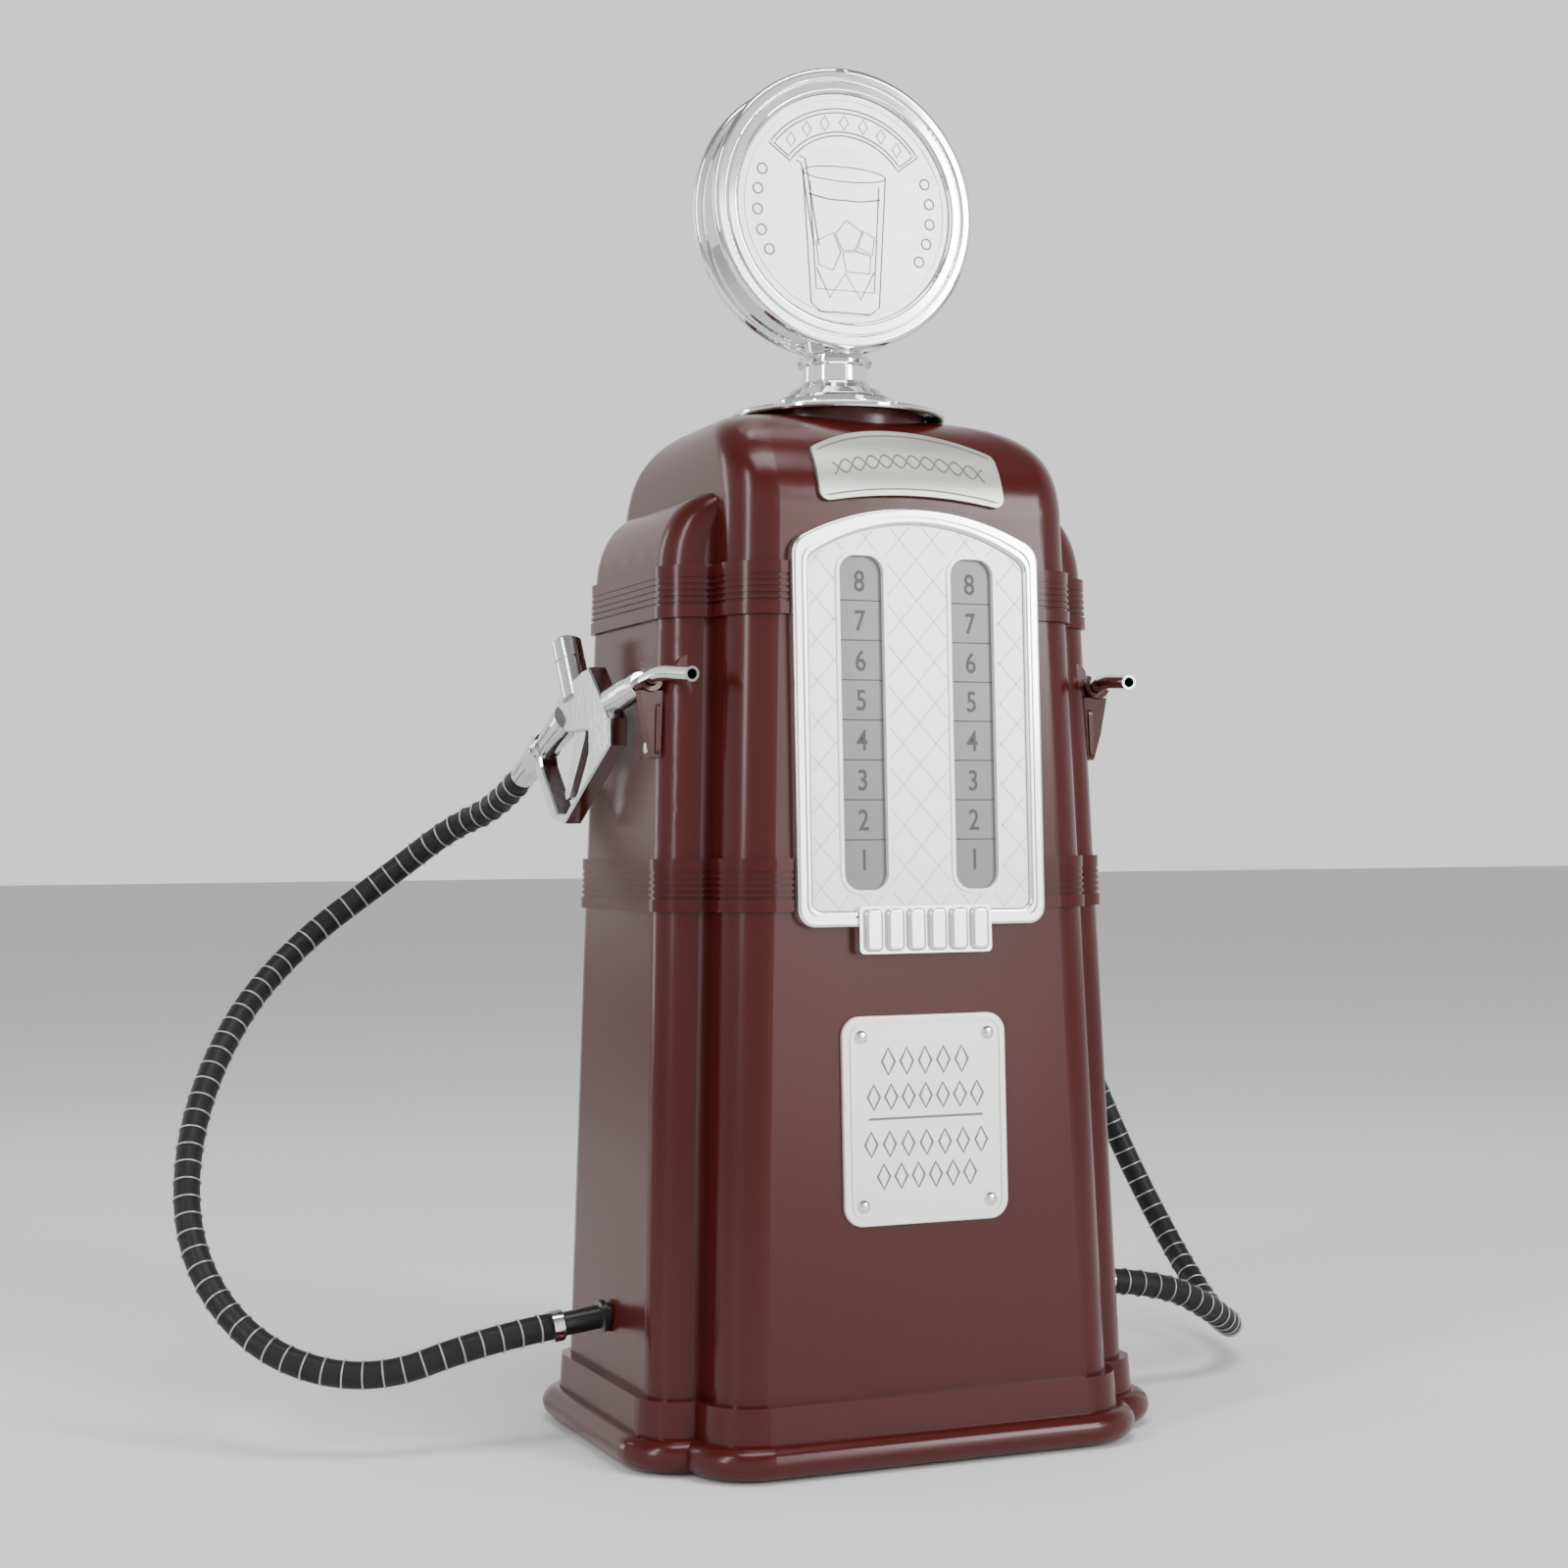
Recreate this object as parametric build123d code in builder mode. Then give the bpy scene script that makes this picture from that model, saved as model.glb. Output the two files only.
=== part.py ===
"""Table-top twin drinks dispenser in the shape of an old petrol pump.

Frame: +Z up, the front faces -Y, +X is to the right of a person who faces the front. The origin is
the centre of the footprint, on the surface that the feet stand on. All lengths are millimetres.
"""

import os
from math import atan, cos, degrees, pi, radians, sin, sqrt

from build123d import *

os.makedirs("parts", exist_ok=True)

# ---------------------------------------------------------------- driving dimensions
# The body is a main block crossed by a wider, shallower side block. Both lean in as they rise.
MAIN_HALF_W = 71.5
MAIN_HALF_D = 70.1
SIDE_HALF_W = 87.8
SIDE_HALF_D = 50.3
LEAN_X = 0.034  # per millimetre of height
LEAN_Y = 0.025
MAIN_CORNER = 14.0
SIDE_CORNER = 12.0
WALL = 2.4
BODY_FLOOR = 0.8  # lower edge of the shells, clear of the table
BODY_TOP = 348.8
DOME_RISE = 40.5
DOME_POWER_X = 4.4
DOME_POWER_Y = 2.1
SHOULDER_RISE = 25.0
BOSS_R = 31.5
BOSS_RISE = 0.4

BEAD_OUT = 8.9
BEAD_H = 10.4
PLINTH_TOP = 22.6
PLINTH_OUT = 3.0

BAND_H = 17.2
BAND_OUT = 1.5
BAND_GROOVE = 0.7
BAND_PLAIN = 0.23  # share of the band that is plain at each edge
BAND_RIBS = 4
LOWER_BAND_Z = 178.6
UPPER_BAND_Z = 274.6

FRAME_W = 89.2
FRAME_BOTTOM = 173.3
FRAME_APEX = 310.3
FRAME_ARCH = 12.0
FRAME_RAIL = 5.4
FRAME_H = 3.8
PANEL_H = 2.2
SLOT_W = 15.7
SLOT_H = 109.0
SLOT_X = 20.0
SLOT_Z = 239.7
SLOT_R = 5.5
STRIP_H = 0.8
WINDOW_INSET = 2.8
TAB_W = 47.4
TAB_BOTTOM = 164.6
TAB_TOP = 180.0
TAB_H = 4.6
TAB_FINGERS = 6
FINGER_H = 1.8

PLAQUE_W = 58.8
PLAQUE_BOTTOM = 76.9
PLAQUE_TOP = 144.5
PLAQUE_R = 6.5
PLAQUE_T = 1.6
RIVET_R = 2.3
RIVET_INSET = 6.6

NAME_T = 1.6
NAME_HALF_W = 33.4
NAME_LOW = (311.4, 314.8)  # height of the lower edge at its ends and on the centre line
NAME_HIGH = (330.2, 338.7)

FILLER_R = 14.0
COLLAR_WALL = 3.0
COLLAR_LOW = 328.0
FUNNEL_W = 84.0
FUNNEL_D = 36.0
FUNNEL_H = 18.0
FUNNEL_WALL = 1.6
FUNNEL_SPOUT_R = 7.0
FUNNEL_SPOUT_X = 28.0
FUNNEL_SPOUT_H = 16.0

TANK_HALF_D = 51.0
TANK_OUT = 56.8
TANK_IN = 2.4
TANK_LOW = 36.0
TANK_HIGH = 298.0
TANK_WALL = 1.6
LID_T = 2.0

PLATE_LOW = 3.0
PLATE_T = 2.4
FOOT_R = 9.0
FOOT_X = 50.0
FOOT_Y = 46.0
POST_R = 5.0
POST_TOP = 26.0
SEAM_X = 71.6
SEAM_LEVELS = (66.0, 150.0, 258.0)
SEAM_BOSS_R = 4.2
SCREW_R = 1.25
SCREW_HEAD_R = 3.0
SCREW_HEAD_H = 1.4

PIPE_Z = 40.0  # height of the outlet's outer end
PIPE_DROP = 0.12  # fall per millimetre outwards
PIPE_R = 4.0
PIPE_BORE = 2.6
PIPE_END = 106.5
PIPE_L = 56.0
HOSE_D = 10.4

SIGN_Z = 422.4
SIGN_R = 49.4
SIGN_T = 22.5
SIGN_DRUM_R = 47.2
SIGN_FACE_R = 40.4
SIGN_SEAT = 349.4
FLANGE_R = 38.7
NECK_BASE = 361.4

NOZZLE_X = 83.9  # nozzle reference point: front end of the spout ferrule
NOZZLE_Y = -31.0
NOZZLE_Z = 254.0
NOZZLE_TOE_IN = 7.7  # degrees
NOZZLE_HALF_T = 3.5
NOZZLE_HOLLOW = 1.7
NOZZLE_LIFT_LEAN = 20.0  # degrees off vertical
SPOUT_R = 2.5
SPOUT_BORE = 1.7
SPOUT_RISE = 12.4  # degrees
CAP_R = 5.25
STEM_R = 1.5
TRIGGER_T = 2.9

FIT = 0.1  # loose fit between pieces of one body
RUN = 0.05  # running fit on a pin


# ---------------------------------------------------------------- shared shapes
def block(half_w, half_d, corner, low, high, grow=0.0, grow_high=None):
    """Leaning block with rounded corners, its sides moved out by grow."""
    high_grow = grow if grow_high is None else grow_high
    with BuildPart() as made:
        for z, out in ((low, grow), (high, high_grow)):
            with BuildSketch(Plane.XY.offset(z)):
                RectangleRounded(2 * (half_w - LEAN_X * z + out), 2 * (half_d - LEAN_Y * z + out), corner + out)
        loft(ruled=True)
    return made.part


def main_block(low, high, grow=0.0, grow_high=None):
    return block(MAIN_HALF_W, MAIN_HALF_D, MAIN_CORNER, low, high, grow, grow_high)


def side_block(low, high, grow=0.0, grow_high=None):
    return block(SIDE_HALF_W, SIDE_HALF_D, SIDE_CORNER, low, high, grow, grow_high)


def dome(grow=0.0):
    """Rounded top of the main block: each level shrinks along a power curve in width and depth."""
    base = BODY_TOP - DOME_RISE
    half_w = MAIN_HALF_W - LEAN_X * base + grow
    half_d = MAIN_HALF_D - LEAN_Y * base + grow
    with BuildPart() as made:
        for step in range(9):
            share = sin(radians(10.0 * step))
            x = half_w * (1 - share**DOME_POWER_X) ** (1 / DOME_POWER_X)
            y = half_d * (1 - share**DOME_POWER_Y) ** (1 / DOME_POWER_Y)
            with BuildSketch(Plane.XY.offset(base + (DOME_RISE + grow) * share)):
                RectangleRounded(2 * x, 2 * y, min(MAIN_CORNER + grow, 0.85 * y))
        loft()
    return made.part


def shoulder(grow=0.0):
    """Rounded top of the side block, which curves in until it meets the main block."""
    base = UPPER_BAND_Z + BAND_H
    outer = SIDE_HALF_W - LEAN_X * base + grow
    inner = MAIN_HALF_W - LEAN_X * (base + SHOULDER_RISE) - 1.0 + grow
    with BuildPart() as made:
        for step in range(7):
            angle = radians(14.0 * step)
            z = base + (SHOULDER_RISE + grow) * sin(angle)
            x = inner + (outer - inner) * cos(angle)
            with BuildSketch(Plane.XY.offset(z)):
                RectangleRounded(2 * x, 2 * (SIDE_HALF_D - LEAN_Y * z + grow), SIDE_CORNER + grow)
        loft()
    return made.part


def bead(half_w, half_d, corner):
    """Half-round moulding at the foot of one block."""
    with BuildPart() as made:
        with BuildSketch(Plane.XY.offset(BODY_FLOOR)):
            RectangleRounded(2 * (half_w + BEAD_OUT), 2 * (half_d + BEAD_OUT), corner + BEAD_OUT)
        extrude(amount=BEAD_H)
        fillet(made.faces().filter_by(Axis.Z).edges(), 0.49 * BEAD_H)
    return made.part


def band(low):
    """Ribbed band round both blocks: plain edges and fine ribs between them."""
    plain = BAND_PLAIN * BAND_H
    pitch = (BAND_H - 2 * plain) / (2 * BAND_RIBS + 1)
    rings = [(low, BAND_H, BAND_GROOVE), (low, plain, BAND_OUT), (low + BAND_H - plain, plain, BAND_OUT)]
    for rib in range(BAND_RIBS):
        rings.append((low + plain + (2 * rib + 1) * pitch, pitch, BAND_OUT))
    with BuildPart() as made:
        for z, height, out in rings:
            for half_w, half_d, corner in (
                (MAIN_HALF_W, MAIN_HALF_D, MAIN_CORNER),
                (SIDE_HALF_W, SIDE_HALF_D, SIDE_CORNER),
            ):
                with BuildSketch(Plane.XY.offset(z)):
                    RectangleRounded(2 * (half_w - LEAN_X * z + out), 2 * (half_d - LEAN_Y * z + out), corner + out)
            extrude(amount=height)
    return made.part


def arched(inset, bottom_r, shoulder_r):
    """Panel outline with straight sides and an arched top, moved in by inset."""
    half = FRAME_W / 2 - inset
    low = FRAME_BOTTOM + inset
    apex = FRAME_APEX - inset
    eave = FRAME_APEX - FRAME_ARCH - inset
    with BuildSketch() as made:
        with BuildLine():
            arch = ThreePointArc((-half, eave), (0, apex), (half, eave))
            Polyline(arch @ 1, (half, low), (-half, low), arch @ 0)
        make_face()
        corners = made.vertices().sort_by(Axis.Y)
        fillet(corners[:2], bottom_r)
        fillet(made.vertices().sort_by(Axis.Y)[-2:], shoulder_r)
    return made.sketch


def turned(plane, *stations):
    """Solid turned about the normal of a plane, through (height, radius) stations."""
    outline = [(0, stations[0][0])]
    outline += [(radius, height) for height, radius in stations]
    outline += [(0, stations[-1][0])]
    with BuildPart() as made:
        with BuildSketch(Plane.XZ):
            with BuildLine():
                Polyline(*outline, close=True)
            make_face()
        revolve(axis=Axis.Z)
    return made.part.moved(plane.location)


def finish(part, name):
    """Label one piece and write it as its own STEP file."""
    part.label = name
    export_step(part, f"parts/{name}.step")


def mirrored(part):
    """The same piece on the other side of the object."""
    with BuildPart() as made:
        mirror(part, about=Plane.YZ)
    return made.part


def finish_pair(part, name):
    """Write a left piece and its right-hand mirror image."""
    finish(part, f"{name}_left")
    finish(mirrored(part), f"{name}_right")


# Walls that pieces are fixed to. Their second axis runs up the wall.
FRONT_WALL = Plane(origin=(0, -MAIN_HALF_D, 0), x_dir=(1, 0, 0), z_dir=(0, -1, LEAN_Y))
LEFT_WALL = Plane(origin=(-SIDE_HALF_W, 0, 0), x_dir=(0, -1, 0), z_dir=(-1, 0, LEAN_X))

# ---------------------------------------------------------------- body: outside and inside
DOME_BASE = BODY_TOP - DOME_RISE
SHOULDER_BASE = UPPER_BAND_Z + BAND_H
BOSS_TOP = BODY_TOP + BOSS_RISE

with BuildPart() as hull:
    add(main_block(BODY_FLOOR, DOME_BASE))
    add(dome())
    add(side_block(BODY_FLOOR, SHOULDER_BASE))
    add(shoulder())
    add(main_block(BODY_FLOOR + BEAD_H / 2, PLINTH_TOP, PLINTH_OUT + 0.6, PLINTH_OUT))
    add(side_block(BODY_FLOOR + BEAD_H / 2, PLINTH_TOP, PLINTH_OUT + 0.6, PLINTH_OUT))
    add(bead(MAIN_HALF_W, MAIN_HALF_D, MAIN_CORNER))
    add(bead(SIDE_HALF_W, SIDE_HALF_D, SIDE_CORNER))
    add(band(LOWER_BAND_Z))
    add(band(UPPER_BAND_Z))
    with BuildSketch(Plane.XY.offset(DOME_BASE + 0.6 * DOME_RISE)):
        Circle(BOSS_R)
    extrude(amount=BOSS_TOP - DOME_BASE - 0.6 * DOME_RISE)

with BuildPart() as cavity:
    add(main_block(0, DOME_BASE, -WALL))
    add(dome(-WALL))
    add(side_block(0, SHOULDER_BASE, -WALL))
    add(shoulder(-WALL))

# OUTLET is the left outlet: origin at its outer end, normal outward and a little down.
OUTLET = Plane(origin=(-PIPE_END, 0, PIPE_Z), x_dir=(0, 1, 0), z_dir=(-1, 0, -PIPE_DROP))

with BuildPart() as outlet_bore:
    add(turned(OUTLET, (-PIPE_L - 6, PIPE_R + FIT), (2, PIPE_R + FIT)))
    mirror(about=Plane.YZ)

with BuildPart() as casing:
    add(hull.part)
    add(cavity.part, mode=Mode.SUBTRACT)
    # mouth for the filler collar
    with BuildSketch(Plane.XY.offset(COLLAR_LOW)):
        Circle(FILLER_R + COLLAR_WALL + FIT)
    extrude(amount=BOSS_TOP - COLLAR_LOW + 1, mode=Mode.SUBTRACT)
    # outlet holes in both sides
    add(outlet_bore.part, mode=Mode.SUBTRACT)

POST_X = MAIN_HALF_W - WALL - POST_R - 1.3
POST_Y = MAIN_HALF_D - WALL - POST_R - 1.3
PLATE_HIGH = PLATE_LOW + PLATE_T
BASE_SCREW_L = 13.0

# ---------------------------------------------------------------- front shell
with BuildPart() as front_shell:
    add(casing.part)
    split(bisect_by=Plane.XZ, keep=Keep.TOP)
    for level in SEAM_LEVELS:
        with BuildSketch(Plane.XZ):
            with Locations((-SEAM_X, level), (SEAM_X, level)):
                Circle(SEAM_BOSS_R)
        extrude(amount=SIDE_HALF_D - LEAN_Y * level - WALL / 2)
    with BuildSketch(Plane.XY.offset(PLATE_HIGH)):
        with Locations((-POST_X, -POST_Y), (POST_X, -POST_Y)):
            Circle(POST_R)
    extrude(amount=POST_TOP - PLATE_HIGH)
    with Locations(
        *[
            Location((side * SEAM_X, 0, level), (90, 0, 0))
            for side in (-1, 1)
            for level in SEAM_LEVELS
        ]
    ):
        Cylinder(SCREW_R + FIT, 28, mode=Mode.SUBTRACT)
    with BuildSketch(Plane.XY.offset(PLATE_HIGH)):
        with Locations((-POST_X, -POST_Y), (POST_X, -POST_Y)):
            Circle(SCREW_R + FIT)
    extrude(amount=BASE_SCREW_L, mode=Mode.SUBTRACT)
    # the panel sits on the bare wall: the bands stop at its edge
    with BuildSketch(FRONT_WALL):
        add(arched(-FIT, 6.0, 8.0))
    extrude(amount=2 * BAND_OUT + 2, mode=Mode.SUBTRACT)
    # sight windows behind the level strips
    with BuildSketch(FRONT_WALL.offset(1)):
        with Locations((-SLOT_X, SLOT_Z), (SLOT_X, SLOT_Z)):
            RectangleRounded(SLOT_W - 2 * WINDOW_INSET, SLOT_H - 2 * WINDOW_INSET, SLOT_R - 1.5)
    extrude(amount=-3 * WALL, mode=Mode.SUBTRACT)
finish(front_shell.part, "front_shell")

# ---------------------------------------------------------------- rear shell
SEAM_HEAD_Y = 24.0

with BuildPart() as rear_shell:
    add(casing.part)
    split(bisect_by=Plane.XZ, keep=Keep.BOTTOM)
    for level in SEAM_LEVELS:
        with BuildSketch(Plane.XZ):
            with Locations((-SEAM_X, level), (SEAM_X, level)):
                Circle(SEAM_BOSS_R + 0.6)
        extrude(amount=-(SIDE_HALF_D - LEAN_Y * level - WALL / 2))
    with BuildSketch(Plane.XY.offset(PLATE_HIGH)):
        with Locations((-POST_X, POST_Y), (POST_X, POST_Y)):
            Circle(POST_R)
    extrude(amount=POST_TOP - PLATE_HIGH)
    with BuildSketch(Plane.XZ):
        with Locations(*[(side * SEAM_X, level) for side in (-1, 1) for level in SEAM_LEVELS]):
            Circle(SCREW_R + FIT)
    extrude(amount=-SIDE_HALF_D, mode=Mode.SUBTRACT)
    with BuildSketch(Plane.XZ.offset(-SEAM_HEAD_Y)):
        with Locations(*[(side * SEAM_X, level) for side in (-1, 1) for level in SEAM_LEVELS]):
            Circle(SCREW_HEAD_R + 0.4)
    extrude(amount=-SIDE_HALF_D, mode=Mode.SUBTRACT)
    with BuildSketch(Plane.XY.offset(PLATE_HIGH)):
        with Locations((-POST_X, POST_Y), (POST_X, POST_Y)):
            Circle(SCREW_R + FIT)
    extrude(amount=BASE_SCREW_L, mode=Mode.SUBTRACT)
finish(rear_shell.part, "rear_shell")

# ---------------------------------------------------------------- fasteners of the shells
SEAM_TIP_Y = -12.0

with BuildPart() as seam_screws:
    for side in (-1, 1):
        for level in SEAM_LEVELS:
            head = Plane(origin=(side * SEAM_X, SEAM_HEAD_Y, level), x_dir=(1, 0, 0), z_dir=(0, -1, 0))
            add(
                turned(
                    head,
                    (-SCREW_HEAD_H, SCREW_HEAD_R - 0.6),
                    (-SCREW_HEAD_H / 2, SCREW_HEAD_R),
                    (0, SCREW_HEAD_R),
                    (0, SCREW_R),
                    (SEAM_HEAD_Y - SEAM_TIP_Y - 1.5, SCREW_R),
                    (SEAM_HEAD_Y - SEAM_TIP_Y, 0.4),
                )
            )
finish(seam_screws.part, "seam_screws")

with BuildPart() as base_screws:
    for x in (-POST_X, POST_X):
        for y in (-POST_Y, POST_Y):
            head = Plane(origin=(x, y, PLATE_LOW), x_dir=(1, 0, 0), z_dir=(0, 0, 1))
            add(
                turned(
                    head,
                    (-SCREW_HEAD_H, SCREW_HEAD_R - 0.6),
                    (-SCREW_HEAD_H / 2, SCREW_HEAD_R),
                    (0, SCREW_HEAD_R),
                    (0, SCREW_R),
                    (BASE_SCREW_L, SCREW_R),
                    (BASE_SCREW_L + 1, 0.4),
                )
            )
finish(base_screws.part, "base_screws")

# ---------------------------------------------------------------- base plate and feet
with BuildPart() as base_plate:
    for half_w, half_d, corner in (
        (MAIN_HALF_W, MAIN_HALF_D, MAIN_CORNER),
        (SIDE_HALF_W, SIDE_HALF_D, SIDE_CORNER),
    ):
        inset = WALL + FIT
        with BuildSketch(Plane.XY.offset(PLATE_LOW)):
            RectangleRounded(
                2 * (half_w - LEAN_X * PLATE_HIGH - inset),
                2 * (half_d - LEAN_Y * PLATE_HIGH - inset),
                corner - inset,
            )
    extrude(amount=PLATE_T)
    with BuildSketch(Plane.XY.offset(PLATE_LOW)):
        with GridLocations(2 * POST_X, 2 * POST_Y, 2, 2):
            Circle(SCREW_R + 2 * FIT)
    extrude(amount=PLATE_T, mode=Mode.SUBTRACT)
finish(base_plate.part, "base_plate")

with BuildPart() as rubber_feet:
    for x in (-FOOT_X, FOOT_X):
        for y in (-FOOT_Y, FOOT_Y):
            stand = Plane(origin=(x, y, 0), x_dir=(1, 0, 0), z_dir=(0, 0, 1))
            add(turned(stand, (0, FOOT_R - 1.2), (0.8, FOOT_R - 0.4), (PLATE_LOW, FOOT_R)))
finish(rubber_feet.part, "rubber_feet")

# ---------------------------------------------------------------- tanks, their stand and lids
with BuildPart() as tank_stand:
    with BuildSketch(Plane.XY.offset(PLATE_HIGH)):
        RectangleRounded(2 * TANK_OUT, 2 * TANK_HALF_D, 4)
        RectangleRounded(2 * TANK_OUT - 6, 2 * TANK_HALF_D - 6, 3, mode=Mode.SUBTRACT)
        Rectangle(6, 2 * TANK_HALF_D - 4)
    extrude(amount=TANK_LOW - PLATE_HIGH)
finish(tank_stand.part, "tank_stand")

TANK_MID = (TANK_OUT + TANK_IN) / 2
TANK_SPAN = TANK_OUT - TANK_IN

with BuildPart() as tank:
    with BuildSketch(Plane.XY.offset(TANK_LOW)):
        with Locations((-TANK_MID, 0)):
            RectangleRounded(TANK_SPAN, 2 * TANK_HALF_D, 5)
    extrude(amount=TANK_HIGH - TANK_LOW)
    with BuildSketch(Plane.XY.offset(TANK_LOW + TANK_WALL)):
        with Locations((-TANK_MID, 0)):
            RectangleRounded(TANK_SPAN - 2 * TANK_WALL, 2 * (TANK_HALF_D - TANK_WALL), 5 - TANK_WALL)
    extrude(amount=TANK_HIGH - TANK_LOW, mode=Mode.SUBTRACT)
    add(turned(OUTLET, (-PIPE_L, PIPE_R + RUN), (0, PIPE_R + RUN)), mode=Mode.SUBTRACT)
finish_pair(tank.part, "tank")

with BuildPart() as tank_lids:
    with BuildSketch(Plane.XY.offset(TANK_HIGH)):
        with Locations((-TANK_MID, 0), (TANK_MID, 0)):
            RectangleRounded(TANK_SPAN, 2 * TANK_HALF_D, 5)
        with Locations((-FUNNEL_SPOUT_X, 0), (FUNNEL_SPOUT_X, 0)):
            Circle(FUNNEL_SPOUT_R + FIT, mode=Mode.SUBTRACT)
    extrude(amount=LID_T)
finish(tank_lids.part, "tank_lids")

# ---------------------------------------------------------------- filler collar and funnel
FUNNEL_TOP = COLLAR_LOW
FUNNEL_LOW = FUNNEL_TOP - FUNNEL_H

with BuildPart() as filler_collar:
    with BuildSketch(Plane.XY.offset(COLLAR_LOW)):
        Circle(FILLER_R + COLLAR_WALL)
        Circle(FILLER_R, mode=Mode.SUBTRACT)
    extrude(amount=BOSS_TOP - COLLAR_LOW)
finish(filler_collar.part, "filler_collar")

with BuildPart() as filler_funnel:
    with BuildSketch(Plane.XY.offset(FUNNEL_LOW)):
        RectangleRounded(FUNNEL_W, FUNNEL_D, 10)
    extrude(amount=FUNNEL_H)
    with BuildSketch(Plane.XY.offset(FUNNEL_LOW + FUNNEL_WALL)):
        RectangleRounded(FUNNEL_W - 2 * FUNNEL_WALL, FUNNEL_D - 2 * FUNNEL_WALL, 10 - FUNNEL_WALL)
    extrude(amount=FUNNEL_H - 2 * FUNNEL_WALL, mode=Mode.SUBTRACT)
    with BuildSketch(Plane.XY.offset(FUNNEL_LOW)):
        Rectangle(FUNNEL_WALL, FUNNEL_D - FUNNEL_WALL)
    extrude(amount=FUNNEL_H / 2)
    with BuildSketch(Plane.XY.offset(FUNNEL_LOW + 0.5)):
        with Locations((-FUNNEL_SPOUT_X, 0), (FUNNEL_SPOUT_X, 0)):
            Circle(FUNNEL_SPOUT_R)
    extrude(amount=-FUNNEL_SPOUT_H)
    with BuildSketch(Plane.XY.offset(FUNNEL_LOW + FUNNEL_WALL)):
        with Locations((-FUNNEL_SPOUT_X, 0), (FUNNEL_SPOUT_X, 0)):
            Circle(FUNNEL_SPOUT_R - 1.4)
    extrude(amount=-FUNNEL_SPOUT_H - FUNNEL_WALL, mode=Mode.SUBTRACT)
    with BuildSketch(Plane.XY.offset(FUNNEL_TOP)):
        Circle(FILLER_R)
    extrude(amount=-FUNNEL_WALL, mode=Mode.SUBTRACT)
finish(filler_funnel.part, "filler_funnel")

# ---------------------------------------------------------------- gauge panel
with BuildPart() as panel_frame:
    with BuildSketch(FRONT_WALL):
        add(arched(0, 6.0, 8.0))
        add(arched(FRAME_RAIL, 3.0, 5.0), mode=Mode.SUBTRACT)
    extrude(amount=FRAME_H)
    crest = panel_frame.faces().sort_by(Axis((0, 0, 0), FRONT_WALL.z_dir))[-1]
    fillet(crest.edges(), 1.1)
    with BuildSketch(FRONT_WALL.offset(FRAME_H - 0.9)):
        add(arched(2.9, 4.5, 6.5))
        add(arched(3.6, 4.0, 6.0), mode=Mode.SUBTRACT)
    extrude(amount=2, mode=Mode.SUBTRACT)
finish(panel_frame.part, "panel_frame")

with BuildPart() as gauge_panel:
    with BuildSketch(FRONT_WALL):
        add(arched(FRAME_RAIL + FIT, 3.0, 5.0))
    extrude(amount=PANEL_H)
    with BuildSketch(FRONT_WALL.offset(PANEL_H)):
        with Locations((-SLOT_X, SLOT_Z), (SLOT_X, SLOT_Z)):
            RectangleRounded(SLOT_W + 2.4, SLOT_H + 2.4, SLOT_R + 1.2)
    extrude(amount=0.6)
    with BuildSketch(FRONT_WALL):
        with Locations((-SLOT_X, SLOT_Z), (SLOT_X, SLOT_Z)):
            RectangleRounded(SLOT_W, SLOT_H, SLOT_R)
    extrude(amount=PANEL_H + 1, mode=Mode.SUBTRACT)
finish(gauge_panel.part, "gauge_panel")

with BuildPart() as gauge_strip:
    with BuildSketch(FRONT_WALL):
        with Locations((-SLOT_X, SLOT_Z)):
            RectangleRounded(SLOT_W - 2 * FIT, SLOT_H - 2 * FIT, SLOT_R - FIT)
    extrude(amount=STRIP_H)
finish_pair(gauge_strip.part, "gauge_strip")

TAB_MID = (TAB_BOTTOM + TAB_TOP) / 2
FINGER_PITCH = (TAB_W - 1.6) / TAB_FINGERS

with BuildPart() as ribbed_tab:
    with BuildSketch(FRONT_WALL):
        with Locations((0, TAB_MID)):
            RectangleRounded(TAB_W, TAB_TOP - TAB_BOTTOM, 1.6)
    extrude(amount=TAB_H)
    with BuildSketch(FRONT_WALL):
        add(arched(-FIT / 2, 6.0, 8.0))
    extrude(amount=FRAME_H + FIT / 2, mode=Mode.SUBTRACT)
    with BuildSketch(FRONT_WALL.offset(TAB_H)):
        with Locations((0, TAB_MID)):
            with GridLocations(FINGER_PITCH, 0, TAB_FINGERS, 1):
                RectangleRounded(FINGER_PITCH - 1.3, TAB_TOP - TAB_BOTTOM - 1.4, 2.0)
    extrude(amount=FINGER_H)
    crest = ribbed_tab.faces().sort_by(Axis((0, 0, 0), FRONT_WALL.z_dir))[-TAB_FINGERS:]
    fillet(crest.edges(), 1.1)
finish(ribbed_tab.part, "ribbed_tab")

# ---------------------------------------------------------------- plaque, rivets and name plate
PLAQUE_MID = (PLAQUE_BOTTOM + PLAQUE_TOP) / 2
PLAQUE_H = PLAQUE_TOP - PLAQUE_BOTTOM

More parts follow.
